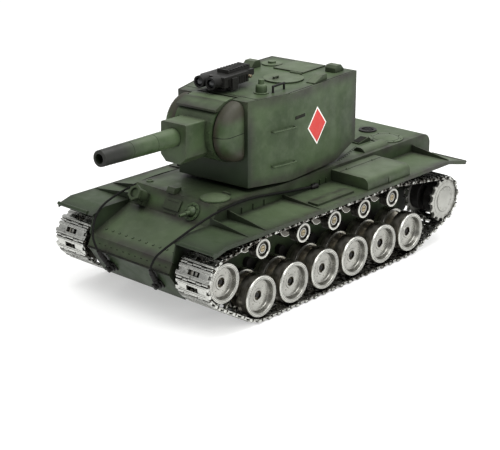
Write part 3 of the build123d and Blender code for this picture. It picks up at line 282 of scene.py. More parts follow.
def track_metal(name, bright, dark, low, high):
    """Cast links: a painted highlight where the "painted_light" stored on them is high, painted shade where
    it is low and in their corners.
    """
    s = Shader(name)
    cast = s.noise(330.0, 3.0, 0.6)
    patch = s.noise(95.0, 3.0, 0.55)
    speckle = s.math("ADD", s.span(cast, *s.STEADY, -0.42, 0.42), s.span(patch, *s.STEADY, -0.22, 0.22))
    shine = s.math("ADD", s.math("MULTIPLY", s.attribute("painted_light"), 1.25), speckle)
    # painted shade in the links' corners
    shine = s.math("MULTIPLY", s.span(shine, 0.25, 0.85), s.span(s.openness(0.004), 0.35, 0.9))
    s.set(Base_Color=s.mix(shine, dark, bright), Metallic=1.0, Roughness=s.span(cast, *s.STEADY, low, high))
    s.bump(cast, 0.00008)
    return s.material


def black_plastic(name, colour, rough, specular):
    """Moulded black plastic, lightly textured, dusty on edges."""
    s = Shader(name)
    patch = s.noise(110.0, 3.0, 0.6)
    dust = s.math("MULTIPLY", s.attribute("edge"), 0.25)
    base = s.mix(s.span(patch, 0.4, 0.75, 0.0, 0.45), colour, scaled(colour, 1.9, 0.003))
    s.set(Base_Color=s.mix(dust, base, PLASTIC_DUST), Specular_IOR_Level=specular,
          Roughness=s.span(patch, *s.STEADY, *rough))
    s.bump(s.noise(1900.0, 2.0), 0.00008, 0.45)
    return s.material


def scaled(colour, factor, more=0.0):
    return tuple(c * factor + more for c in colour)


def mottled(name, colours, rough, noise, band=(0.4, 0.75), relief=None, **more):
    """Two colours in soft patches, with the roughness and any relief following the patches."""
    s = Shader(name)
    patch = s.noise(*noise)
    s.set(Base_Color=s.mix(s.span(patch, *band), *colours),
          Roughness=s.span(patch, *s.STEADY, *rough), **more)
    if relief:
        s.bump(patch, *relief)
    return s.material


def plain_metal(name, colour, rough):
    colours = (colour, scaled(colour, 0.55))
    return mottled(name, colours, rough, (200.0, 4.0, 0.6), relief=(0.00005,), Metallic=1.0)


def decal_ink(name, colour):
    """Printed ink, slightly worn."""
    s = Shader(name)
    wear = s.noise(900.0, 4.0, 0.7)
    s.set(Base_Color=s.mix(s.span(wear, 0.50, 0.78, 0.0, 0.8), colour, scaled(colour, 0.72, 0.02)),
          Roughness=s.span(s.noise(120.0, 2.0), *s.STEADY, 0.38, 0.5))
    s.bump(wear, 0.00003, 0.4)
    return s.material


GREEN = green_paint("green_paint")
GREEN_SOFT = green_paint("green_paint_fittings", airbrush=0.6, sunlit=0.50)
TURRET_GREEN = green_paint("green_paint_turret", shade=turret_front_shade, sunlit=0.12)
MUDGUARD_GREEN = green_paint("green_paint_mudguards", shade=hull_front_shade)
BARREL_GREEN = green_paint("green_paint_barrel", 0.5, barrel_shade, MUZZLE_SHADE)
CHEEK_GREEN = green_paint("green_paint_cheeks", 0.4, cheek_shade, CHEEK_SHADE)
WHEEL_SILVER = wheel_metal("turned_metal", (0.55, 0.55, 0.51), 0.22, 0.34)
SPROCKET_SILVER = wheel_metal("sprocket_metal", (0.40, 0.40, 0.37), 0.38, 0.52)
TREAD = tread_metal("burnished_tread", (0.15, 0.14, 0.115), (0.33, 0.31, 0.26), (0.50, 0.48, 0.43))
ROLLER_TREAD = tread_metal("roller_tread", (0.070, 0.066, 0.057), (0.13, 0.125, 0.11), (0.24, 0.23, 0.21))
TRACK_BRIGHT = track_metal("track_bright", (0.50, 0.505, 0.475), (0.050, 0.045, 0.037), 0.20, 0.36)
# dark metal of the horns and pins, also painted shade on the links' low webs
TRACK_DARK = track_metal("track_dark", (0.085, 0.078, 0.064), (0.016, 0.014, 0.011), 0.40, 0.60)
BLACK = black_plastic("black_plastic", (0.005, 0.005, 0.0045), (0.34, 0.55), 0.16)
SOOT = black_plastic("dark_metal_paint", (0.006, 0.0055, 0.005), (0.4, 0.62), 0.18)
ROPE_BLACK = black_plastic("rope_black", (0.004, 0.004, 0.0035), (0.55, 0.75), 0.12)
STEEL = plain_metal("machined_steel", (0.36, 0.35, 0.33), (0.28, 0.46))
BRONZE = plain_metal("dull_bronze", (0.30, 0.255, 0.17), (0.30, 0.48))
RED_INK = decal_ink("red_ink", (0.50, 0.019, 0.013))
WHITE_INK = decal_ink("white_ink", (0.78, 0.77, 0.72))
SEAM = mottled("seam_shadow", ((0.004, 0.005, 0.003), (0.020, 0.020, 0.014)), (0.6, 0.85), (260.0,),
               Specular_IOR_Level=0.15)
GLASS = mottled("lens_glass", ((0.008, 0.009, 0.010), (0.022, 0.023, 0.026)), (0.10, 0.20), (240.0, 2.0),
                (0.4, 0.7), Specular_IOR_Level=0.45)
BATTERY_FILM = mottled("battery_film", ((0.02, 0.07, 0.20), (0.03, 0.11, 0.30)), (0.16, 0.34),
                       (120.0, 4.0, 0.6, (0.3, 1.0, 1.0)), (0.4, 0.7), (0.0003,))
BOARD_RESIN = mottled("board_resin", ((0.006, 0.055, 0.022), (0.02, 0.12, 0.05)), (0.28, 0.42),
                      (260.0, 1.0, 0.4, (1.0, 0.25, 1.0)), (0.49, 0.52), (0.00006, 0.4))


# ---------------------------------------------------------------- mesh building
SHARP = math.radians(32.0)


def round_angles(count, first=0.0):
    """Evenly spaced angles round a circle."""
    return [first + 2 * math.pi * k / count for k in range(count)]


def round_off(bm, edges, soft):
    """Bevel the sharp ones of these edges."""
    sharp = [e for e in edges if len(e.link_faces) == 2 and e.calc_face_angle(0) > SHARP]
    return bmesh.ops.bevel(bm, geom=sharp, offset=soft, segments=2, profile=0.5, affect="EDGES",
                           clamp_overlap=True)


class Piece:
    """A mesh put together from solids with softened edges, in metres."""

    def __init__(self, name):
        self.name = name
        self.bm = bmesh.new()

    def soften(self, verts, soft, place, material):
        faces = list({f for v in verts for f in v.link_faces})
        edges = list({e for v in verts for e in v.link_edges})
        if soft:
            made = round_off(self.bm, edges, soft)
            faces = list({f for v in verts if v.is_valid for f in v.link_faces} | set(made["faces"]))
        for face in faces:
            if face.is_valid:
                face.material_index = material
        if place is not None:
            moved = {v for f in faces if f.is_valid for v in f.verts}
            bmesh.ops.transform(self.bm, matrix=place, verts=list(moved))

    def box(self, low, high, soft=0.0003, place=None, material=0):
        low, high = Vector(low), Vector(high)
        size = high - low
        fit = Matrix.Translation((low + high) / 2) @ Matrix.Diagonal((*size, 1.0))
        verts = bmesh.ops.create_cube(self.bm, size=1.0, matrix=fit)["verts"]
        self.soften(verts, soft, place, material)

    def prism(self, outline, y0, y1, soft=0.0003, place=None, material=0):
        """Extrude an x-z outline from y0 to y1."""
        near = [self.bm.verts.new((x, y0, z)) for x, z in outline]
        far = [self.bm.verts.new((x, y1, z)) for x, z in outline]
        count = len(outline)
        faces = [self.bm.faces.new(near), self.bm.faces.new(list(reversed(far)))]
        for k in range(count):
            j = (k + 1) % count
            faces.append(self.bm.faces.new((near[j], near[k], far[k], far[j])))
        bmesh.ops.recalc_face_normals(self.bm, faces=faces)
        self.soften(near + far, soft, place, material)

    def turn(self, profile, place, sides, material=0, closed=True):
        """Turn (radius, height, material) points about Y. Radius 0 makes a pole."""
        rings = []
        for point in profile:
            radius, height = point[:2]
            around = round_angles(sides) if radius else [0.0]
            spots = [(radius * math.cos(a), height, radius * math.sin(a)) for a in around]
            rings.append([self.bm.verts.new(spot) for spot in spots])
        faces = []
        last = len(rings) if closed else len(rings) - 1
        for k in range(last):
            a, b = rings[k], rings[(k + 1) % len(rings)]
            index = profile[k][2] if len(profile[k]) > 2 else material
            for j in range(sides):
                i = (j + 1) % sides
                if len(a) == 1:
                    corners = (a[0], b[j], b[i])
                elif len(b) == 1:
                    corners = (a[j], b[0], a[i])
                else:
                    corners = (a[j], b[j], b[i], a[i])
                face = self.bm.faces.new(corners)
                face.material_index = index
                faces.append(face)
        bmesh.ops.recalc_face_normals(self.bm, faces=faces)
        bmesh.ops.transform(self.bm, matrix=place, verts=[v for ring in rings for v in ring])

    def rod(self, start, end, radius, end_radius=None, sides=20, soft=0.0002, material=0):
        """Round bar between two points, with a small chamfer at each end."""
        start, end = Vector(start), Vector(end)
        end_radius = radius if end_radius is None else end_radius
        length = (end - start).length
        soft = min(soft, length * 0.3, radius * 0.5)
        profile = [(0, 0), (radius - soft, 0), (radius, soft), (end_radius, length - soft),
                   (end_radius - soft, length), (0, length)]
        self.turn(profile, axis_place(start, end - start), sides, material, closed=False)

    def finish(self, body, slot, materials, replaces=(), origin=(0, 0, 0)):
        bmesh.ops.translate(self.bm, vec=-Vector(origin), verts=self.bm.verts)
        return place_mesh(self.name, mesh_from(self.name, self.bm), body, materials, replaces, origin)


def axis_place(start, direction):
    """Matrix that lays Y, drawn from 0, along a direction from a point."""
    return Matrix.Translation(start) @ direction.to_track_quat("Y", "Z").to_matrix().to_4x4()


def mesh_from(name, bm):
    mesh = bpy.data.meshes.new(name)
    bm.to_mesh(mesh)
    bm.free()
    return mesh


def store(mesh, name, values):
    """Store one number for each vertex of a mesh, for its material to read."""
    mesh.attributes.new(name, "FLOAT", "POINT").data.foreach_set("value", values)


def place_object(name, data):
    thing = bpy.data.objects.new(name, data)
    bpy.context.scene.collection.objects.link(thing)
    return thing


def place_mesh(name, mesh, body, materials, replaces=(), origin=(0, 0, 0), sharp_angle=35.0):
    """Make an object of a mesh, shade it, and tie it to its body."""
    mesh.polygons.foreach_set("use_smooth", [True] * len(mesh.polygons))
    mesh.set_sharp_from_angle(angle=math.radians(sharp_angle))
    for material in materials:
        mesh.materials.append(material)
    piece = place_object(name, mesh)
    piece.location = origin
    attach(piece, body)
    if replaces:
        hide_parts(*replaces)
    return piece


# ---------------------------------------------------------------- moulded parts with soft edges
LONGEST_EDGE = 0.0048
SHORTEST_SHADED = 0.006
SHADE_STEP = 0.002
SHADE_REACH = 0.0105


def edge_points(bm):
    """Points spaced along the sharp edges that are long enough to be shaded."""
    points = []
    for edge in bm.edges:
        if len(edge.link_faces) != 2 or edge.calc_face_angle(0) < SHARP:
            continue
        length = edge.calc_length()
        if length < SHORTEST_SHADED:
            continue
        a, b = edge.verts[0].co, edge.verts[1].co
        steps = max(1, int(length / SHADE_STEP))
        points.extend(a.lerp(b, k / steps) for k in range(steps + 1))
    return points


def shade_edges(mesh, points):
    """Store on each vertex how near it is to a shaded edge, from 0 to 1."""
    tree = KDTree(len(points))
    for index, point in enumerate(points):
        tree.insert(point, index)
    tree.balance()
    values = []
    for vertex in mesh.vertices:
        near = max(0.0, 1.0 - tree.find(vertex.co)[2] / SHADE_REACH)
        values.append(near * near * (3 - 2 * near))
    store(mesh, "edge", values)


def refine(bm):
    """Split edges until none is longer than the shading can follow."""
    bmesh.ops.triangulate(bm, faces=bm.faces)
    for _ in range(7):
        long_edges = [e for e in bm.edges if e.calc_length() > LONGEST_EDGE]
        if not long_edges:
            break
        bmesh.ops.subdivide_edges(bm, edges=long_edges, cuts=1)
        bmesh.ops.triangulate(bm, faces=[f for f in bm.faces if len(f.verts) > 3])


def moulded(node, body, material, soft):
    """The CAD shape again as a moulding: soft edges, fine mesh, and shading along its edges."""
    bm = bmesh.new()
    bm.from_mesh(frame["nodes"][node].data)
    bmesh.ops.remove_doubles(bm, verts=bm.verts, dist=2e-6)
    bmesh.ops.dissolve_limit(bm, angle_limit=math.radians(0.6), verts=bm.verts, edges=bm.edges)
    points = edge_points(bm)
    round_off(bm, bm.edges, soft)
    refine(bm)
    name = f"{node}_moulding"
    mesh = mesh_from(name, bm)
    if points:
        shade_edges(mesh, points)
    piece = place_mesh(name, mesh, body, [material], [node], sharp_angle=48.0)
    piece.modifiers.new("flat_faces", "WEIGHTED_NORMAL").keep_sharp = True


MOULDINGS = [
    ("lower_hull", "hull", "painted_shell", MUDGUARD_GREEN, 0.0004),
    ("upper_hull", "hull", "painted_shell", GREEN, 0.0005),
    ("left_fender", "hull", "painted_shell", MUDGUARD_GREEN, 0.0003),
    ("right_fender", "hull", "painted_shell", MUDGUARD_GREEN, 0.0003),
    ("stowage_boxes", "hull", "green_fittings", GREEN_SOFT, 0.0004),
    ("hull_hatch", "hull", "green_fittings", GREEN_SOFT, 0.0003),
    ("hull_fittings", "hull", "green_fittings", GREEN_SOFT, 0.0002),
    ("headlamp", "hull", "green_fittings", GREEN_SOFT, 0.0003),
    ("bow_gun", "bow_gun", "green_fittings", GREEN_SOFT, 0.0002),
    ("turret_shell", "turret", "painted_shell", TURRET_GREEN, 0.0007),
    ("turret_cheeks", "turret", "painted_shell", CHEEK_GREEN, 0.0005),
    ("gun_mantlet", "gun", "painted_shell", GREEN_SOFT, 0.0008),
    ("gun_barrel", "barrel", "painted_shell", BARREL_GREEN, 0.0002),
    ("turret_hatch", "turret_hatch", "green_fittings", GREEN_SOFT, 0.0003),
    ("turret_fittings", "turret", "green_fittings", GREEN_SOFT, 0.0003),
    ("light_base", "light_swivel", "black_plastic", BLACK, 0.0003),
    ("light_head", "light_head", "black_plastic", BLACK, 0.0003),
    ("smoke_generator", "hull", "black_plastic", BLACK, 0.0002),
    ("tow_hooks", "hull", "black_plastic", SOOT, 0.0003),
]


def build_mouldings():
    for node, body, slot, material, soft in MOULDINGS:
        moulded(node, body, material, soft)


# ---------------------------------------------------------------- wheels
SILVER, DARK = 0, 1               # the two materials of wheels, sprockets and links, in this order
RIM_GROOVES = (0.0015, 0.0029)
GROOVE_WIDTH = 0.00055
GROOVE_DEPTH = 0.0006
DISH_DEPTH = 0.0056
DISC_WIDTH = 0.0140
INNER_DISC_IN = 0.0230            # from the wheel's outer face to the inner disc's
BOSS = 0.0108
AXLE_HOLE = 0.0029
HUB_HOLE = 0.0046
HUB_NUT = 0.0030
HUB_BOLTS = 0.0096


def centre_of(node):
    low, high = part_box(node)
    return (low + high) / 2


def radius_of(node):
    low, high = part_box(node)
    return (high.z - low.z) / 2


def wheel_place(node, side):
    """Frame of a wheel: 0 in the middle of its outer face, Y outwards along the axle."""
    low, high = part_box(node)
    face = max(abs(low.y), abs(high.y))
    mirror = Matrix.Diagonal((1.0, SIDES[side], 1.0, 1.0))
    return Matrix.Translation(axle_point(node)) @ mirror @ Matrix.Translation((0, face, 0))


def axle_point(node):
    """Where a wheel's axle meets the vehicle's middle plane."""
    centre = centre_of(node)
    return Vector((centre.x, 0, centre.z))


def finish_wheel(piece, node, body, materials):
    return piece.finish(body, "wheel_metal", materials, [node], axle_point(node))


def bolt_circle(piece, place, count, radius, y, height, size, sides, first=0.0, material=SILVER):
    """Bolt heads that stand on a wheel's face, evenly round its axle."""
    for a in round_angles(count, first):
        foot = Vector((radius * math.cos(a), y, radius * math.sin(a)))
        piece.rod(place @ foot, place @ (foot + Vector((0, height, 0))), *size, sides, 0.0002, material)


def dished_disc(piece, r, place):
    """Outer disc of a double wheel: grooved flat rim, deep dish, hub with a dark hole."""
    dish = -DISH_DEPTH
    profile = [
        (BOSS, -DISC_WIDTH, DARK), (r - 0.0006, -DISC_WIDTH, DARK), (r, 0.0006 - DISC_WIDTH, DARK),
        (r, -0.0014, SILVER), (r - 0.0003, -0.0006, SILVER), (r - 0.0009, 0, SILVER),
    ]
    for inwards in RIM_GROOVES:
        for step, drop in ((0, 0), (0.2, GROOVE_DEPTH), (0.8, GROOVE_DEPTH), (1, 0)):
            profile.append((r - inwards - GROOVE_WIDTH * step, -drop, SILVER))
    profile.extend([
        (r - 0.0041, -0.0002, SILVER), (r - 0.0045, -0.0010, SILVER), (r - 0.0049, dish * 0.72, SILVER),
        (r - 0.0056, dish * 0.93, SILVER), (r - 0.0070, dish, SILVER), (0.0070, dish + 0.0004, SILVER),
        (0.0066, dish + 0.0009, SILVER), (HUB_HOLE + 0.0003, dish + 0.0009, SILVER),
        # the hub hole's walls take the dark tread metal: painted shade in the hole
        (HUB_HOLE, dish + 0.0005, DARK), (HUB_HOLE, -0.0085, DARK), (0.0027, -0.0087, DARK),
        (0.0027, -0.0130, DARK),
    ])
    piece.turn(profile, place, 96)
    nut = [(HUB_NUT * math.cos(a), HUB_NUT * math.sin(a)) for a in round_angles(6)]
    piece.prism(nut, -0.0088, -0.0066, 0.0002, place, DARK)
    bolt_circle(piece, place, 6, HUB_BOLTS, dish, 0.0008, (0.00055, 0.0004), 12, math.radians(12))


def inner_disc(piece, r, place):
    """Inner disc of a double wheel, with its bright edge and dark tread."""
    profile = [
        (AXLE_HOLE, -0.0139, DARK), (r - 0.0012, -0.0139, DARK), (r, -0.0127, DARK), (r, -0.0010, SILVER),
        (r - 0.0004, -0.0003, SILVER), (r - 0.0016, 0, SILVER), (r - 0.0030, -0.0002, DARK),
        (r - 0.0040, -0.0022, DARK), (BOSS, -0.0022, DARK), (BOSS, 0.0090, DARK), (AXLE_HOLE, 0.0090, DARK),
    ]
    piece.turn(profile, place @ Matrix.Translation((0, -INNER_DISC_IN, 0)), 96)


def double_wheel(node, side, body):
    radius = radius_of(node)
    place = wheel_place(node, side)
    piece = Piece(f"{node}_turned")
    dished_disc(piece, radius, place)
    inner_disc(piece, radius, place)
    shade_dish(finish_wheel(piece, node, body, [WHEEL_SILVER, TREAD]), radius)


def shade_dish(wheel, radius):
    """Painted shade in the recessed dish: strongest where the dish meets its wall, less round the hub and
    over the dish's floor.
    """
    values = []
    for vertex in wheel.data.vertices:
        r = math.hypot(vertex.co.x, vertex.co.z)
        wall = max(0.0, 1 - abs(r - (radius - 0.0052)) / 0.0022)
        hub = max(0.0, 1 - abs(r - 0.0064) / 0.0016)
        dish = 0.44 if r < radius - 0.0044 else 0.0
        values.append(max(0.80 * wall, 0.5 * hub, dish))
    store(wheel.data, "dish_shade", values)


def return_roller(node, side, body):
    """Double roller: hub, dark web, bright rim, two treads with a groove between them."""
    r = radius_of(node)
    piece = Piece(f"{node}_turned")
    profile = [
        (0.0021, -0.0060, DARK), (0.0033, -0.0022, DARK), (0.0036, -0.0012, SILVER),
        (0.0046, -0.0012, SILVER), (0.0049, -0.0026, DARK), (r - 0.0030, -0.0028, DARK),
        (r - 0.0026, -0.0004, SILVER),
        (r - 0.0022, 0, SILVER), (r - 0.0010, 0, SILVER), (r - 0.0003, -0.0003, SILVER), (r, -0.0009, DARK),
        # the inner half's face towards the outer half is dark tread metal: painted shade from the track over
        # the roller
        (r, -0.0105, DARK), (r - 0.0005, -0.0110, DARK), (0.0036, -0.0112, DARK), (0.0036, -0.0222, DARK),
        (r - 0.0012, -0.0220, SILVER), (r - 0.0007, -0.0220, DARK), (r, -0.0226, DARK), (r, -0.0326, DARK),
        (r - 0.0004, -0.0329, DARK), (0.0021, -0.0329, DARK),
    ]
    piece.turn(profile, wheel_place(node, side), 56)
    shade_dish(finish_wheel(piece, node, body, [WHEEL_SILVER, ROLLER_TREAD]), r + 0.0022)


# ---------------------------------------------------------------- sprockets
TEETH = 16
TOOTH_HEIGHT = 0.0034
CAP_HEIGHT = 0.0009               # how far the middle cap stands out from the toothed disc
SHAFT_RADIUS = 0.0029
TOOTHED_DISCS = ((-0.0040, -0.0004, SILVER), (-0.0370, -0.0332, DARK))
BOLT_ROWS = ((16, 0.0159, -0.0005, 0.00075), (12, 0.0115, 0.0008, 0.0006), (16, 0.0194, -0.0005, 0.0005))
PLATE = ((0, -0.0020), (0.0178, -0.0020), (0.0180, -0.0001), (0.0174, 0), (0.0143, 0), (0.0140, -0.0003),
         (0.0136, -0.0003), (0.0133, 0.0006), (0.0128, CAP_HEIGHT), (0, CAP_HEIGHT))
DRUM_OUTER = ((0.0088, -0.0255), (0.0088, -0.0162), (0.0172, -0.0160), (0.0176, -0.0156), (0.0176, -0.0040),
              (0.0060, -0.0038))
DRUM_INNER = ((0.0060, -0.0338), (0.0176, -0.0334), (0.0176, -0.0234), (0.0172, -0.0230), (0.0088, -0.0228),
              (0.0088, -0.0255))


def toothed_outline(root, tip):
    """Outline of a flat disc with square-topped teeth, centred on 0, 0."""
    step = 2 * math.pi / TEETH
    flank = ((-0.30, root), (-0.17, root + 0.0005), (-0.105, tip - 0.0004), (-0.07, tip))
    tooth = [*flank, *((-share, radius) for share, radius in reversed(flank))]
    outline = []
    for middle in round_angles(TEETH):
        for share, radius in tooth:
            a = middle + share * step
            outline.append((radius * math.cos(a), radius * math.sin(a)))
    return outline


def sprocket(node, side, body):
    low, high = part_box(node)
    tip = radius_of(node)
    piece = Piece(f"{node}_turned")
    place = wheel_place(node, side) @ Matrix.Translation((0, -CAP_HEIGHT, 0))
    for start, stop, material in TOOTHED_DISCS:
        piece.prism(toothed_outline(tip - TOOTH_HEIGHT, tip - 0.0001), start, stop, 0.0004, place, material)
    piece.turn(PLATE, place, 96, closed=False)
    for count, radius, y, size in BOLT_ROWS:
        bolt_circle(piece, place, count, radius, y, 0.0008, (size, size * 0.8), 10, math.pi / count)
    for drum in (DRUM_OUTER, DRUM_INNER):
        piece.turn(drum, place, 72, DARK, closed=False)
    bolt_circle(piece, place, 12, 0.0138, -0.0165, 0.0012, (0.0009, 0.0009), 10, material=DARK)
    shaft_end = CAP_HEIGHT - (high.y - low.y)
    shaft = [place @ Vector((0, y, 0)) for y in (shaft_end, -0.0330)]
    piece.rod(*shaft, SHAFT_RADIUS, None, 24, 0.0003, DARK)
    finish_wheel(piece, node, body, [SPROCKET_SILVER, SOOT])


def build_running_gear():
    for side in SIDES:
        for k in range(1, 7):
            double_wheel(f"{side}_road_wheel_{k}", side, f"{side}_wheel_{k}")
        double_wheel(f"{side}_idler", side, f"{side}_idler")
        for k in range(1, 6):
            return_roller(f"{side}_return_roller_{k}", side, f"{side}_roller_{k}")
        sprocket(f"{side}_sprocket", side, f"{side}_sprocket")


# ---------------------------------------------------------------- tracks
LINK_PITCH = 0.0136
LINK_CLEAR = 0.0015
SPROCKET_BITE = 0.0042
WEB_LOW, WEB_TOP = 0.0003, 0.0019
PAD_LOW = 0.0013
SLOT_HALF = 0.0024                # half length of the open slots through the link's middle
GROUSER_X = 0.0043
KNUCKLE_RADIUS = 0.0014
PIN_HEIGHT = 0.0016
PIN_RADIUS = 0.0007
REAR_KNUCKLES = ((-0.0196, -0.0126), (-0.0050, 0.0050), (0.0126, 0.0196))
FRONT_KNUCKLES = ((-0.0120, -0.0056), (0.0056, 0.0120))
HORN_OUTLINE = ((-0.0026, 0.0006), (0.0026, 0.0006), (0.0011, -0.0050), (0.0006, -0.0061), (-0.0006, -0.0061),
                (-0.0011, -0.0050))
HORN_SHIFT = 0.0010
HORN_HALF = 0.0017


def belt_parts(circles):
    """Arcs and straight runs of a belt round circles given counter-clockwise, as (length, shape)."""
    normals = []
    count = len(circles)
    for k in range(count):
        (c1, r1), (c2, r2) = circles[k], circles[(k + 1) % count]
        reach = c2 - c1
        along = reach.normalized()
        lean = (r1 - r2) / reach.length
        normals.append(lean * along + math.sqrt(1 - lean * lean) * Vector((along.y, -along.x)))
    parts = []
    for k in range(count):
        centre, radius = circles[k]
        before, after = normals[k - 1], normals[k]
        a0 = math.atan2(before.y, before.x)
        turn = (math.atan2(after.y, after.x) - a0) % (2 * math.pi)
        parts.append((turn * radius, ("arc", centre, radius, a0, turn)))
        next_centre, next_radius = circles[(k + 1) % count]
        start = centre + after * radius
        stop = next_centre + after * next_radius
        parts.append(((stop - start).length, ("run", start, stop)))
    return parts


def belt_point(parts, distance):
    """Point on the belt after a distance along it."""
    for length, shape in parts:
        if distance <= length:
            break
        distance -= length
    share = min(1.0, distance / length)
    if shape[0] == "run":
        return shape[1].lerp(shape[2], share)
    _, centre, radius, a0, turn = shape
    a = a0 + turn * share
    return centre + radius * Vector((math.cos(a), math.sin(a)))


def track_circles(side):
    """Wheels that the track goes round, as flat centres and belt radii."""
    def wheel(node, less=0.0):
        c = centre_of(node)
        return Vector((c.x, c.z)), radius_of(node) - less + LINK_CLEAR

    return [wheel(f"{side}_road_wheel_6"), wheel(f"{side}_road_wheel_1"), wheel(f"{side}_idler"),
            wheel(f"{side}_return_roller_1"), wheel(f"{side}_return_roller_5"),
            wheel(f"{side}_sprocket", SPROCKET_BITE)]


def link_mesh(half, thick):
    """One link about its middle: X along the track, Y across it, Z outwards from the wheels."""
    link = Piece("link")
    reach = LINK_PITCH / 2 - 0.0010
    pad_top = thick - 0.0006
    # the low webs, here and beside the slots, take the dark metal: painted shade in the slots and the gaps
    # between the pads
    for start, stop in ((-reach, -SLOT_HALF), (SLOT_HALF, reach)):
        web, pad = half - 0.0012, half - 0.0024
        link.box((start, -web, WEB_LOW), (stop, web, WEB_TOP), 0.0003, material=DARK)
        link.box((start, -pad, PAD_LOW), (stop, pad, pad_top), 0.0006, material=SILVER)
    for x in (-GROUSER_X, GROUSER_X):
        bar = half - 0.0036
        link.box((x - 0.0006, -bar, pad_top - 0.0004), (x + 0.0006, bar, thick), 0.0003, material=SILVER)
    for sign in SIDES.values():
        inner, outer = sorted((sign * 0.0066, sign * (half - 0.0012)))
        link.box((-0.0026, inner, WEB_LOW), (0.0026, outer, WEB_TOP), 0.0003, material=DARK)
        inner, outer = sorted((sign * 0.0070, sign * (half - 0.0034)))
        link.box((-0.0032, inner, PAD_LOW), (0.0032, outer, pad_top - 0.0004), 0.0005, material=SILVER)
        for start, stop, out in ((-reach + 0.0004, -0.0012, 0.0), (0.0020, reach - 0.0002, 0.0013)):
            inner, outer = sorted((sign * (half - 0.0060), sign * (half - out)))
            link.box((start, inner, 0.0007), (stop, outer, pad_top - 0.0003), 0.0006, material=SILVER)
    rear, front = -LINK_PITCH / 2, LINK_PITCH / 2
    for x, knuckles in ((rear, REAR_KNUCKLES), (front, FRONT_KNUCKLES)):
        for y0, y1 in knuckles:
            link.rod((x, y0, PIN_HEIGHT), (x, y1, PIN_HEIGHT), KNUCKLE_RADIUS, None, 14, 0.0003, SILVER)
    link.rod((rear, -half, PIN_HEIGHT), (rear, half, PIN_HEIGHT), PIN_RADIUS, None, 10, 0.0002, DARK)
    link.prism(HORN_OUTLINE, HORN_SHIFT - HORN_HALF, HORN_SHIFT + HORN_HALF, 0.0004, material=DARK)
    link.bm.verts.index_update()
    return link.bm


def link_painted_light(out, x):
    """How brightly a link is painted by where it lies on the belt: a painted highlight most at the front,
    painted shade most under the mudguard.
    """
    if out.x > 0.25:
        return 0.86
    if out.x < -0.25:
        return 0.70
    if out.y > 0:
        return 0.32
    return 0.48 + 1.2 * max(-0.10, min(0.12, x))


def build_track(side):
    """Links laid end to end round the wheels, joined into the side's one piece."""
    node = f"{side}_track"
    low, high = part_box(node)
    wheel_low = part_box(f"{side}_road_wheel_1")[0].z
    bm = link_mesh((high.y - low.y) / 2, wheel_low - LINK_CLEAR - low.z)
    points = np.array([v.co for v in bm.verts])
    winding = -SIDES[side]            # turns the faces round on the mirrored side
    faces = [[v.index for v in f.verts][::winding] for f in bm.faces]
    shades = [f.material_index for f in bm.faces]
    bm.free()
    parts = belt_parts(track_circles(side))
    total = sum(length for length, _ in parts)
    count = round(total / LINK_PITCH)
    y = (low.y + high.y) / 2 + points[:, 1] * SIDES[side]
    all_points, all_faces, painted_light = [], [], []
    for k in range(count):
        a = belt_point(parts, total * k / count)
        b = belt_point(parts, total * ((k + 1) % count) / count)
        along = (b - a).normalized()
        out = Vector((along.y, -along.x))
        centre = (a + b) / 2
        x = centre.x + points[:, 0] * along.x + points[:, 2] * out.x
        z = centre.y + points[:, 0] * along.y + points[:, 2] * out.y
        all_points.append(np.stack([x, y, z], axis=1))
        all_faces.extend([k * len(points) + index for index in face] for face in faces)
        # each link's painted highlight and shade, by where it lies on the belt
        painted_light.extend([link_painted_light(out, centre.x)] * len(points))
    mesh = bpy.data.meshes.new(f"{node}_links")
    mesh.from_pydata(np.concatenate(all_points).tolist(), [], all_faces)
    mesh.polygons.foreach_set("material_index", shades * count)
    store(mesh, "painted_light", painted_light)
    mesh.update()
    place_mesh(f"{node}_links", mesh, "hull", [TRACK_BRIGHT, TRACK_DARK], [node])


# ---------------------------------------------------------------- tow cables
CABLE_RADIUS = 0.0011
STRANDS = 6
CORE_SHARE = 0.62                 # of the cable's radius, to the middle of its strands
TWIST_PITCH = 0.0085
FITTING = 1                       # second material of a cable: its metal ends
HULL_HALF = 0.0554
EYE_RADIUS = 0.0039
EYE_WIRE = 0.0012

# Routes and the nose plate they run down, in millimetres.
OUT = 56.85                       # from the middle plane to a cable lying along the hull's side
LEFT_ROUTE = [(-22.0, OUT + 0.6, 94.0), (8.0, OUT + 0.4, 96.8), (38.0, OUT, 101.0), (66.0, OUT, 104.4),
              (94.0, OUT, 104.6), (122.0, OUT + 0.6, 102.0), (148.0, OUT + 1.5, 96.8), (169.0, 58.0, 90.8),
              (180.0, 51.0, 82.0), (186.6, 43.0, 72.0)]
RIGHT_ROUTE = [(-22.0, -OUT - 0.6, 94.0), (8.0, -OUT - 0.4, 98.4), (38.0, -OUT, 104.0), (64.0, -OUT, 105.9),
               (90.0, -OUT, 106.0), (116.0, -OUT, 104.0), (140.0, -OUT - 0.6, 98.8),
               (157.0, -OUT + 0.4, 94.0), (170.0, -52.6, 87.0), (178.6, -47.0, 78.0), (185.4, -40.0, 69.5)]
BELLY_EDGE = (158.0, 27.0)
NOSE_SEAM = (178.7, 58.0)
HOOK_HEIGHT = 41.0
EYE_OUT = 3.7
THIMBLE_LENGTH = 25.0
NOSE_RUN, NOSE_RISE = NOSE_SEAM[0] - BELLY_EDGE[0], NOSE_SEAM[1] - BELLY_EDGE[1]
NOSE_LENGTH = math.hypot(NOSE_RUN, NOSE_RISE)
NOSE_OUTWARD = Vector((NOSE_RISE, 0, -NOSE_RUN)) / NOSE_LENGTH


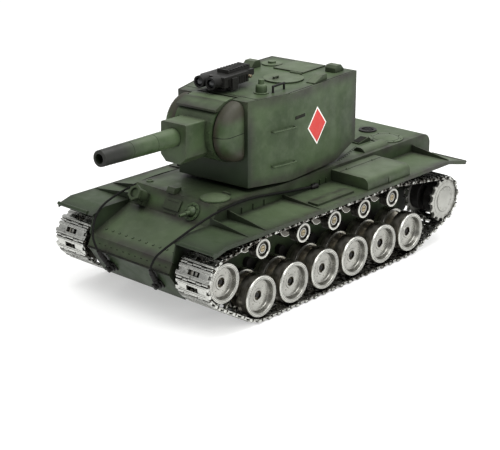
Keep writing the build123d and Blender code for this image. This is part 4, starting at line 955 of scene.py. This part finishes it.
def nose_point(up, y, out):
    """Point on the lower nose plate, up along it from the hooks and standing out from it, in millimetres."""
    share = (HOOK_HEIGHT - BELLY_EDGE[1]) / NOSE_RISE + up / NOSE_LENGTH
    x = BELLY_EDGE[0] + NOSE_RUN * share + NOSE_OUTWARD.x * out
    z = BELLY_EDGE[1] + NOSE_RISE * share + NOSE_OUTWARD.z * out
    return (x, y, z)


def route_line(name, route):
    """Points along the smooth curve that a route controls."""
    curve = bpy.data.curves.new(name, "CURVE")
    curve.dimensions = "3D"
    curve.resolution_u = 24
    spline = curve.splines.new("NURBS")
    spline.points.add(len(route) - 1)
    for point, place in zip(spline.points, route):
        point.co = (*[c * MM for c in place], 1.0)
    spline.order_u = 3
    spline.use_endpoint_u = True
    guide = bpy.data.objects.new(name, curve)
    mesh = bpy.data.meshes.new_from_object(guide)
    points = [v.co.copy() for v in mesh.vertices]
    bpy.data.objects.remove(guide)
    bpy.data.curves.remove(curve)
    bpy.data.meshes.remove(mesh)
    return points


def even_points(points, step):
    """The same line with its points an even distance apart."""
    spans = [(b - a).length for a, b in zip(points, points[1:])]
    total = sum(spans)
    count = max(2, round(total / step))
    result, index, passed = [], 0, 0.0
    for k in range(count + 1):
        want = total * k / count
        while index < len(spans) - 1 and passed + spans[index] < want:
            passed += spans[index]
            index += 1
        share = (want - passed) / spans[index] if spans[index] else 0.0
        result.append(points[index].lerp(points[index + 1], min(1.0, share)))
    return result


def tube_along(bm, centres, frames, radius):
    """Add a round tube through centres, its rings lying along the frames' two side directions."""
    sides = 8
    rings = []
    for centre, (_, u, v, _) in zip(centres, frames):
        spots = [centre + radius * (math.cos(a) * u + math.sin(a) * v) for a in round_angles(sides)]
        rings.append([bm.verts.new(spot) for spot in spots])
    for a, b in zip(rings, rings[1:]):
        for k in range(sides):
            j = (k + 1) % sides
            bm.faces.new((a[k], a[j], b[j], b[k]))
    bm.faces.new(rings[0][::-1])
    bm.faces.new(rings[-1])


def rope(piece, points):
    """Strands twisted round a core that follows the line."""
    frames = []
    u = None
    travelled = 0.0
    for k, point in enumerate(points):
        before = points[max(k - 1, 0)]
        along = (points[min(k + 1, len(points) - 1)] - before).normalized()
        if u is None:
            u = along.cross(Vector((0, 0, 1))).normalized()
        u = (u - along * u.dot(along)).normalized()
        travelled += (point - before).length
        frames.append((point, u, along.cross(u), 2 * math.pi * travelled / TWIST_PITCH))
    lay = CABLE_RADIUS * CORE_SHARE
    for first in round_angles(STRANDS):
        centres = []
        for point, u, v, twist in frames:
            a = first + twist
            centres.append(point + lay * (math.cos(a) * u + math.sin(a) * v))
        tube_along(piece.bm, centres, frames, (CABLE_RADIUS - lay) * 1.12)
    tube_along(piece.bm, points, frames, lay * 0.75)


def hook_end(piece, eye, top):
    """Wire eye over the tow hook, and the thimble from it to the rope with its two pins."""
    reach = (top - eye).normalized()
    ring = [(EYE_RADIUS + EYE_WIRE * math.cos(a), EYE_WIRE * math.sin(a)) for a in round_angles(10)]
    piece.turn(ring, axis_place(eye, NOSE_OUTWARD), 40, FITTING)
    foot = eye + reach * (EYE_RADIUS + 0.0003)
    length = (top - foot).length
    thimble = [(0, 0), (0.0018, 0), (0.0027, 0.0012), (0.0028, 0.0052), (0.0023, 0.0056), (0.0023, 0.0068),
               (0.0028, 0.0072), (0.0026, length - 0.0062), (0.0021, length - 0.0058),
               (0.0021, length - 0.0046), (0.0024, length - 0.0042), (0.0015, length), (0, length)]
    piece.turn(thimble, axis_place(foot, reach), 28, FITTING, closed=False)
    across = NOSE_OUTWARD.cross(reach).normalized() * 0.0037
    for share in (0.22, 0.40):
        middle = foot + reach * length * share
        piece.rod(middle - across, middle + across, 0.0008, None, 12, 0.0002, FITTING)


def hull_end(piece, start, sign):
    """Socket on the rope's rear end and the two lugs that hold it to the hull's side."""
    socket = [(0, 0), (0.0018, 0), (0.0025, 0.0008), (0.0025, 0.0062), (0.0019, 0.0074), (0.0014, 0.0094),
              (0, 0.0096)]
    foot = start + Vector((-0.0071, sign * 0.0010, 0))
    piece.turn(socket, axis_place(foot, Vector((1, 0, 0))), 24, FITTING, closed=False)
    wall, outer = sorted((sign * HULL_HALF, foot.y + sign * 0.0012))
    low_z, high_z = start.z - 0.0030, start.z + 0.0024
    for x in (start.x - 0.0066, start.x - 0.0022):
        piece.box((x, wall, low_z), (x + 0.0016, outer, high_z), 0.0003, material=FITTING)


def tow_cable(side, route, end_y, hook_y):
    """Cable from its socket on the hull's side to the eye over the tow hook."""
    node = f"{side}_tow_cable"
    top = nose_point(THIMBLE_LENGTH, end_y, EYE_OUT)
    piece = Piece(f"{node}_rope")
    rope(piece, even_points(route_line(node, [*route, top]), 0.0011))
    hook_end(piece, Vector(nose_point(0.4, hook_y, EYE_OUT)) * MM, Vector(top) * MM)
    hull_end(piece, Vector(route[0]) * MM, SIDES[side])
    piece.finish("hull", "cable_black", [ROPE_BLACK, SOOT], [node])


# ---------------------------------------------------------------- added detail on the painted parts
SIDE_BEND = (0.0186, 0.0560)      # turret's own x and y where its side bends
SIDE_REAR = (-0.0995, 0.0540)
EMBLEM = (-0.0276, 0.1545)         # x and z of its middle
DIAMONDS = (("edge", 0.0165, 0.0195, 0.00022, WHITE_INK), ("field", 0.0147, 0.0172, 0.00032, RED_INK))


def side_place(sign, x, z):
    """Frame on the turret's side behind the bend: X forward along it, +Y outwards on the left."""
    slope = (SIDE_BEND[1] - SIDE_REAR[1]) / (SIDE_BEND[0] - SIDE_REAR[0])
    y = SIDE_BEND[1] - (SIDE_BEND[0] - x) * slope
    return (TURRET_FRAME @ Matrix.Translation((x, sign * y, z))
            @ Matrix.Rotation(sign * math.atan(slope), 4, "Z"))


def emblem():
    """Plain red diamond with a white edge on each flat side of the turret."""
    for side, sign in SIDES.items():
        place = side_place(sign, *EMBLEM)
        for name, half_wide, half_high, lift, ink in DIAMONDS:
            piece = Piece(f"{side}_diamond_{name}")
            outline = [(half_wide, 0), (0, half_high), (-half_wide, 0), (0, -half_high)]
            piece.prism(outline, *sorted((0.0, sign * lift)), 0.0, place)
            piece.finish("turret", "painted_shell", [ink])


SLIT = (0.0023, 0.1703)           # x and z of the side vision slit's middle
LINE_WIDTH = 0.0005
LINE_LIFT = 0.0002                # how far a joint line stands above the face it lies on
LINE_SINK = 0.0001
ROOF_JOINT = (0.0560, 0.0440)     # x and half width of the joint across the turret roof
RAIL = (0.026, 0.008, 0.040)      # front, rear and distance out, from the turret axis
RAIL_HEIGHT = 0.0062
RAIL_RADIUS = 0.00115
ROOF_EDGE = ((0.0700, 0.0430), (0.0186, 0.0545), (-0.0985, 0.0525))
TURRET_TOP = 0.1964
CHEEK_SEAM_Z = 0.1660             # the cheeks' places are in the turret's own x and y
CHEEK_BACK_X = 0.0697
CHEEK_INNER_Y = 0.0242
CHEEK_OUTER_Y = 0.0390
CHEEK_RADIUS = 0.0296
CHEEK_EDGE = 0.0090


def flat_line(piece, start, end, z, width=LINE_WIDTH, lift=LINE_LIFT, place=Matrix()):
    """Thin dark line between two x-y points, lying on a flat roof at z."""
    start, end = Vector((*start, z)), Vector((*end, z))
    reach = end - start
    place = place @ Matrix.Translation(start) @ Matrix.Rotation(math.atan2(reach.y, reach.x), 4, "Z")
    piece.box((0, -width / 2, -LINE_SINK), (reach.length, width / 2, lift), 0.0, place)


def roof_rail():
    """Black wire rail beside the dome periscope."""
    piece = Piece("roof_rail")
    front, rear, out = RAIL
    corners = [(front, out, 0), (front, out, RAIL_HEIGHT), (rear, out, RAIL_HEIGHT), (rear, out, 0)]
    corners = [TURRET_FRAME @ Vector((x, y, TURRET_TOP + z)) for x, y, z in corners]
    for start, stop in zip(corners, corners[1:]):
        reach = (stop - start).normalized() * RAIL_RADIUS * 0.8
        piece.rod(start - reach, stop + reach, RAIL_RADIUS, None, 16, 0.0004)
    piece.finish("turret", "green_fittings", [BLACK])


def turret_seams():
    """Joint lines and vision slits of the turret, each a hair above the paint."""
    piece = Piece("turret_seams")
    x, y = ROOF_JOINT
    lines = [((x, y), (x, -y))]
    for sign in SIDES.values():
        piece.box((-0.0083, -0.0003, -0.0016), (0.0083, 0.0003, 0.0016), 0.0002, side_place(sign, *SLIT))
        for (x0, y0), (x1, y1) in zip(ROOF_EDGE, ROOF_EDGE[1:]):
            lines.append(((x0, sign * (y0 - 0.0012)), (x1, sign * y1)))
    for start, end in lines:
        flat_line(piece, start, end, TURRET_TOP, place=TURRET_FRAME)
    piece.finish("turret", "painted_shell", [SEAM])


def cheek_seams():
    """Moulding line round each cheek at the height of the trunnions."""
    piece = Piece("cheek_seams")
    proud = 0.00012
    half_line = 0.00028
    middle_x = CHEEK_BACK_X + CHEEK_RADIUS - CHEEK_EDGE
    middle_y = CHEEK_OUTER_Y - CHEEK_EDGE
    corner = CHEEK_EDGE + proud
    outline = [(CHEEK_BACK_X, CHEEK_INNER_Y - proud), (middle_x + corner, CHEEK_INNER_Y - proud)]
    for k in range(9):
        a = math.radians(90 * k / 8)
        outline.append((middle_x + corner * math.cos(a), middle_y + corner * math.sin(a)))
    outline.append((CHEEK_BACK_X, middle_y + corner))
    flat = TURRET_FRAME @ Matrix.Rotation(math.radians(90), 4, "X")
    for sign in SIDES.values():
        mirrored = [(x, -sign * y) for x, y in outline]
        piece.prism(mirrored, CHEEK_SEAM_Z - half_line, CHEEK_SEAM_Z + half_line, 0.0, flat)
    piece.finish("turret", "painted_shell", [SEAM])


NOSE_RIVETS = 13
RIVET_PITCH = 0.0082
GLACIS_TOP = (0.1235, 0.0886)     # x and z of the glacis plate's two edges
GLACIS_END = (0.1735, 0.0685)
GLACIS_RIVET_X = 0.1620
GLACIS_RIVETS = 11
GLACIS_RIVET_PITCH = 0.0092
DECK_Z = 0.1066

# Places on the left half of the deck. The right half mirrors them.
ENGINE_HATCH = (-0.1750, 0.0335)
ENGINE_HATCH_R = 0.0186
EXHAUST = (-0.1440, 0.0220, 0.1102)
EXHAUST_SLOPE = math.radians(11.3)
DECK_JOINT = ((-0.0740, 0.0470), (-0.1290, 0.0285))
DECK_BOLTS = 10
BOLTS_OUT = 0.0022                # from the deck joint to its row of bolts
TOOLBOX_LINE = (-0.1240, -0.0555, 0.0662, 0.10385)      # rear, front, y and z


def ring_line(piece, spot, normal, radius, width, sides, lift=LINE_LIFT):
    """Thin dark ring lying on a face."""
    profile = [(radius, -LINE_SINK), (radius + width, -LINE_SINK), (radius + width, lift), (radius, lift)]
    piece.turn(profile, axis_place(spot, normal), sides)


def row(count, pitch):
    """Evenly spaced places about the middle."""
    return [pitch * (k - (count - 1) / 2) for k in range(count)]


def nose_marks(piece):
    """Joint line across the nose and the rivet marks on the strip above it."""
    seam = Vector((NOSE_SEAM[0], 0, NOSE_SEAM[1])) * MM
    corner = Vector((GLACIS_END[0], 0, GLACIS_END[1]))
    half_width = Vector((0, HULL_HALF, 0))
    piece.rod(seam - half_width, seam + half_width, 0.0010, None, 12, 0.0001)
    strip = seam - corner
    lean = Matrix.Rotation(-math.atan2(strip.x, -strip.z), 4, "Y")
    middle = Matrix.Translation((seam + corner) / 2) @ lean
    for y in row(NOSE_RIVETS, RIVET_PITCH):
        piece.box((-0.0002, y - 0.0011, -0.0004), (0.00022, y + 0.0011, 0.0004), 0.0001, middle)


def glacis_rings(piece):
    """Dark rings round the rivets across the glacis."""
    fall = math.atan2(GLACIS_TOP[1] - GLACIS_END[1], GLACIS_END[0] - GLACIS_TOP[0])
    row_z = GLACIS_TOP[1] - (GLACIS_RIVET_X - GLACIS_TOP[0]) * math.tan(fall)
    normal = Vector((math.sin(fall), 0, math.cos(fall)))
    for y in row(GLACIS_RIVETS, GLACIS_RIVET_PITCH):
        ring_line(piece, Vector((GLACIS_RIVET_X, y, row_z)), normal, 0.00095, 0.00045, 20, 0.00012)


def deck_lines(piece, sign):
    """Hatch rings, exhaust grille, deck joint and toolbox lid line on one side."""
    x, y = ENGINE_HATCH
    up = Vector((0, 0, 1))
    ring_line(piece, Vector((x, sign * y, DECK_Z)), up, ENGINE_HATCH_R, LINE_WIDTH, 72)
    ring_line(piece, Vector((x, sign * y, DECK_Z + 0.0009)), up, ENGINE_HATCH_R - 0.0046, 0.0003, 72)
    grille = (Matrix.Translation((EXHAUST[0], sign * EXHAUST[1], EXHAUST[2] - 0.0004))
              @ Matrix.Rotation(EXHAUST_SLOPE, 4, "Y"))
    piece.box((-0.0066, -0.0040, -0.0002), (0.0070, 0.0040, 0.0003), 0.0, grille)
    (x0, y0), (x1, y1) = DECK_JOINT
    flat_line(piece, (x0, sign * y0), (x1, sign * y1), DECK_Z)
    start, stop, line_y, line_z = TOOLBOX_LINE
    flat_line(piece, (start, sign * line_y), (stop, sign * line_y), line_z, 0.0004, 0.0001)


def hull_seams():
    """Dark lines and rings of the nose, the glacis and the deck."""
    piece = Piece("hull_seams")
    nose_marks(piece)
    glacis_rings(piece)
    for sign in SIDES.values():
        deck_lines(piece, sign)
    piece.finish("hull", "painted_shell", [SEAM])


def deck_bolts():
    """Bolt rows beside the deck joints behind the turret."""
    piece = Piece("deck_bolts")
    (x0, y0), (x1, y1) = DECK_JOINT
    for sign in SIDES.values():
        for k in range(DECK_BOLTS):
            share = (k + 0.5) / DECK_BOLTS
            spot = Vector((x0 + (x1 - x0) * share, sign * (y0 + (y1 - y0) * share + BOLTS_OUT), DECK_Z))
            piece.rod(spot, spot + Vector((0, 0, 0.0008)), 0.0008, 0.0006, 10, 0.0002)
    piece.finish("hull", "green_fittings", [GREEN_SOFT])


LIGHT_LENSES = (-0.0172, -0.0026)
LENS_X = 0.0660
LENS_Z = 0.2072
KNOB = (0.0205, 0.0068, 0.2070)


def lenses():
    """Glass of the twin-lens unit, with the unit's small metal knob."""
    glass = Piece("light_lenses")
    bulge = [(0, 0), (0.0043, 0), (0.0043, 0.0006), (0.0036, 0.0012), (0.0022, 0.0017), (0, 0.0019)]
    for y in LIGHT_LENSES:
        spot = Vector((LENS_X, y, LENS_Z))
        glass.turn(bulge, TURRET_FRAME @ axis_place(spot, Vector((1, 0, 0))), 32, closed=False)
    glass.finish("light_head", "black_plastic", [GLASS])
    knob = Piece("light_knob")
    foot = Vector(KNOB)
    knob.rod(TURRET_FRAME @ foot, TURRET_FRAME @ (foot + Vector((0, 0.0030, 0))), 0.0019, 0.0017, 20, 0.0003)
    knob.finish("light_head", "black_plastic", [BRONZE])


# ---------------------------------------------------------------- carried-over CAD nodes
CAD_MATERIALS = {
    "swing_arms": SOOT,
    "roller_screws": BRONZE,
    "battery_pack": BATTERY_FILM,
    "battery_cover": GREEN_SOFT,
    "drive_gearboxes": STEEL,
    "control_board": BOARD_RESIN,
    "speaker": BLACK,
    "traverse_motor": STEEL,
    "firing_unit": STEEL,
    "hull_screws": STEEL,
    "turret_base": BLACK,
}


def paint_cad_nodes():
    for node, material in CAD_MATERIALS.items():
        mesh = frame["nodes"][node].data
        mesh.materials.clear()
        mesh.materials.append(material)


# ---------------------------------------------------------------- stage
WHITE = (1.0, 1.0, 1.0, 1.0)
FLOOR_HALF = 9.0
FLOOR_GLOW = 0.42
BRIGHT_SIDE = (-0.45, 0.35, 0.82)   # the surroundings are brightest this way
SURROUNDINGS = (0.12, 1.12)         # darkest and brightest level round the tank


def pale_floor():
    s = Shader("pale_floor")
    speckle = s.span(s.noise(30.0), *s.STEADY)
    s.set(Base_Color=s.mix(speckle, (0.61, 0.61, 0.605), (0.63, 0.63, 0.625)), Roughness=0.9,
          Specular_IOR_Level=0.1, Emission_Color=WHITE, Emission_Strength=FLOOR_GLOW)
    bm = bmesh.new()
    bmesh.ops.create_grid(bm, x_segments=2, y_segments=2, size=FLOOR_HALF)
    mesh = mesh_from("floor", bm)
    mesh.materials.append(s.material)
    place_object("floor", mesh)


def aim(thing, place, direction):
    """Stand a lamp or camera at a place, looking along a direction."""
    thing.location = place
    thing.rotation_mode = "QUATERNION"
    thing.rotation_quaternion = Vector(direction).to_track_quat("-Z", "Y")


def area_light(name, place, target, size, power):
    light = bpy.data.lights.new(name, "AREA")
    light.shape = "RECTANGLE"
    light.size, light.size_y = size
    light.energy = power
    aim(place_object(name, light), place, Vector(target) - Vector(place))


def surroundings():
    """White room that grows brighter towards one side."""
    world = bpy.data.worlds.new("studio")
    world.use_nodes = True
    tree = world.node_tree
    background = tree.nodes["Background"]
    background.inputs["Color"].default_value = WHITE
    direction = tree.nodes.new("ShaderNodeTexCoord")
    along = tree.nodes.new("ShaderNodeVectorMath")
    along.operation = "DOT_PRODUCT"
    along.inputs[1].default_value = Vector(BRIGHT_SIDE).normalized()
    level = tree.nodes.new("ShaderNodeMapRange")
    level.inputs["From Min"].default_value = -1.0
    level.inputs["From Max"].default_value = 1.0
    level.inputs["To Min"].default_value, level.inputs["To Max"].default_value = SURROUNDINGS
    tree.links.new(direction.outputs["Generated"], along.inputs[0])
    tree.links.new(along.outputs["Value"], level.inputs["Value"])
    tree.links.new(level.outputs["Result"], background.inputs["Strength"])
    bpy.context.scene.world = world


def studio():
    surroundings()
    bpy.context.scene.view_settings.view_transform = "Standard"
    area_light("key", (0.55, 0.25, 1.20), (0, 0, 0.08), (0.9, 0.7), 7.0)
    area_light("side", (0.20, 1.25, 0.80), (0, 0, 0.08), (0.9, 0.6), 8.0)
    area_light("top", (-0.45, 0.1, 1.35), (0, 0, 0.05), (1.0, 0.8), 9.0)


def camera():
    data = bpy.data.cameras.new("camera")
    data.lens = LENS
    data.sensor_width = SENSOR
    data.clip_start = 0.05
    data.clip_end = 30.0
    eye = place_object("camera", data)
    aim(eye, CAMERA_PLACE, -Vector(CAMERA_BACK))
    bpy.context.scene.camera = eye


camera()
studio()
pale_floor()
tow_cable("left", LEFT_ROUTE, 37.0, 32.0)
tow_cable("right", RIGHT_ROUTE, -34.5, -32.0)
build_mouldings()
build_running_gear()
build_track("left")
build_track("right")
emblem()
roof_rail()
turret_seams()
cheek_seams()
hull_seams()
deck_bolts()
lenses()
paint_cad_nodes()
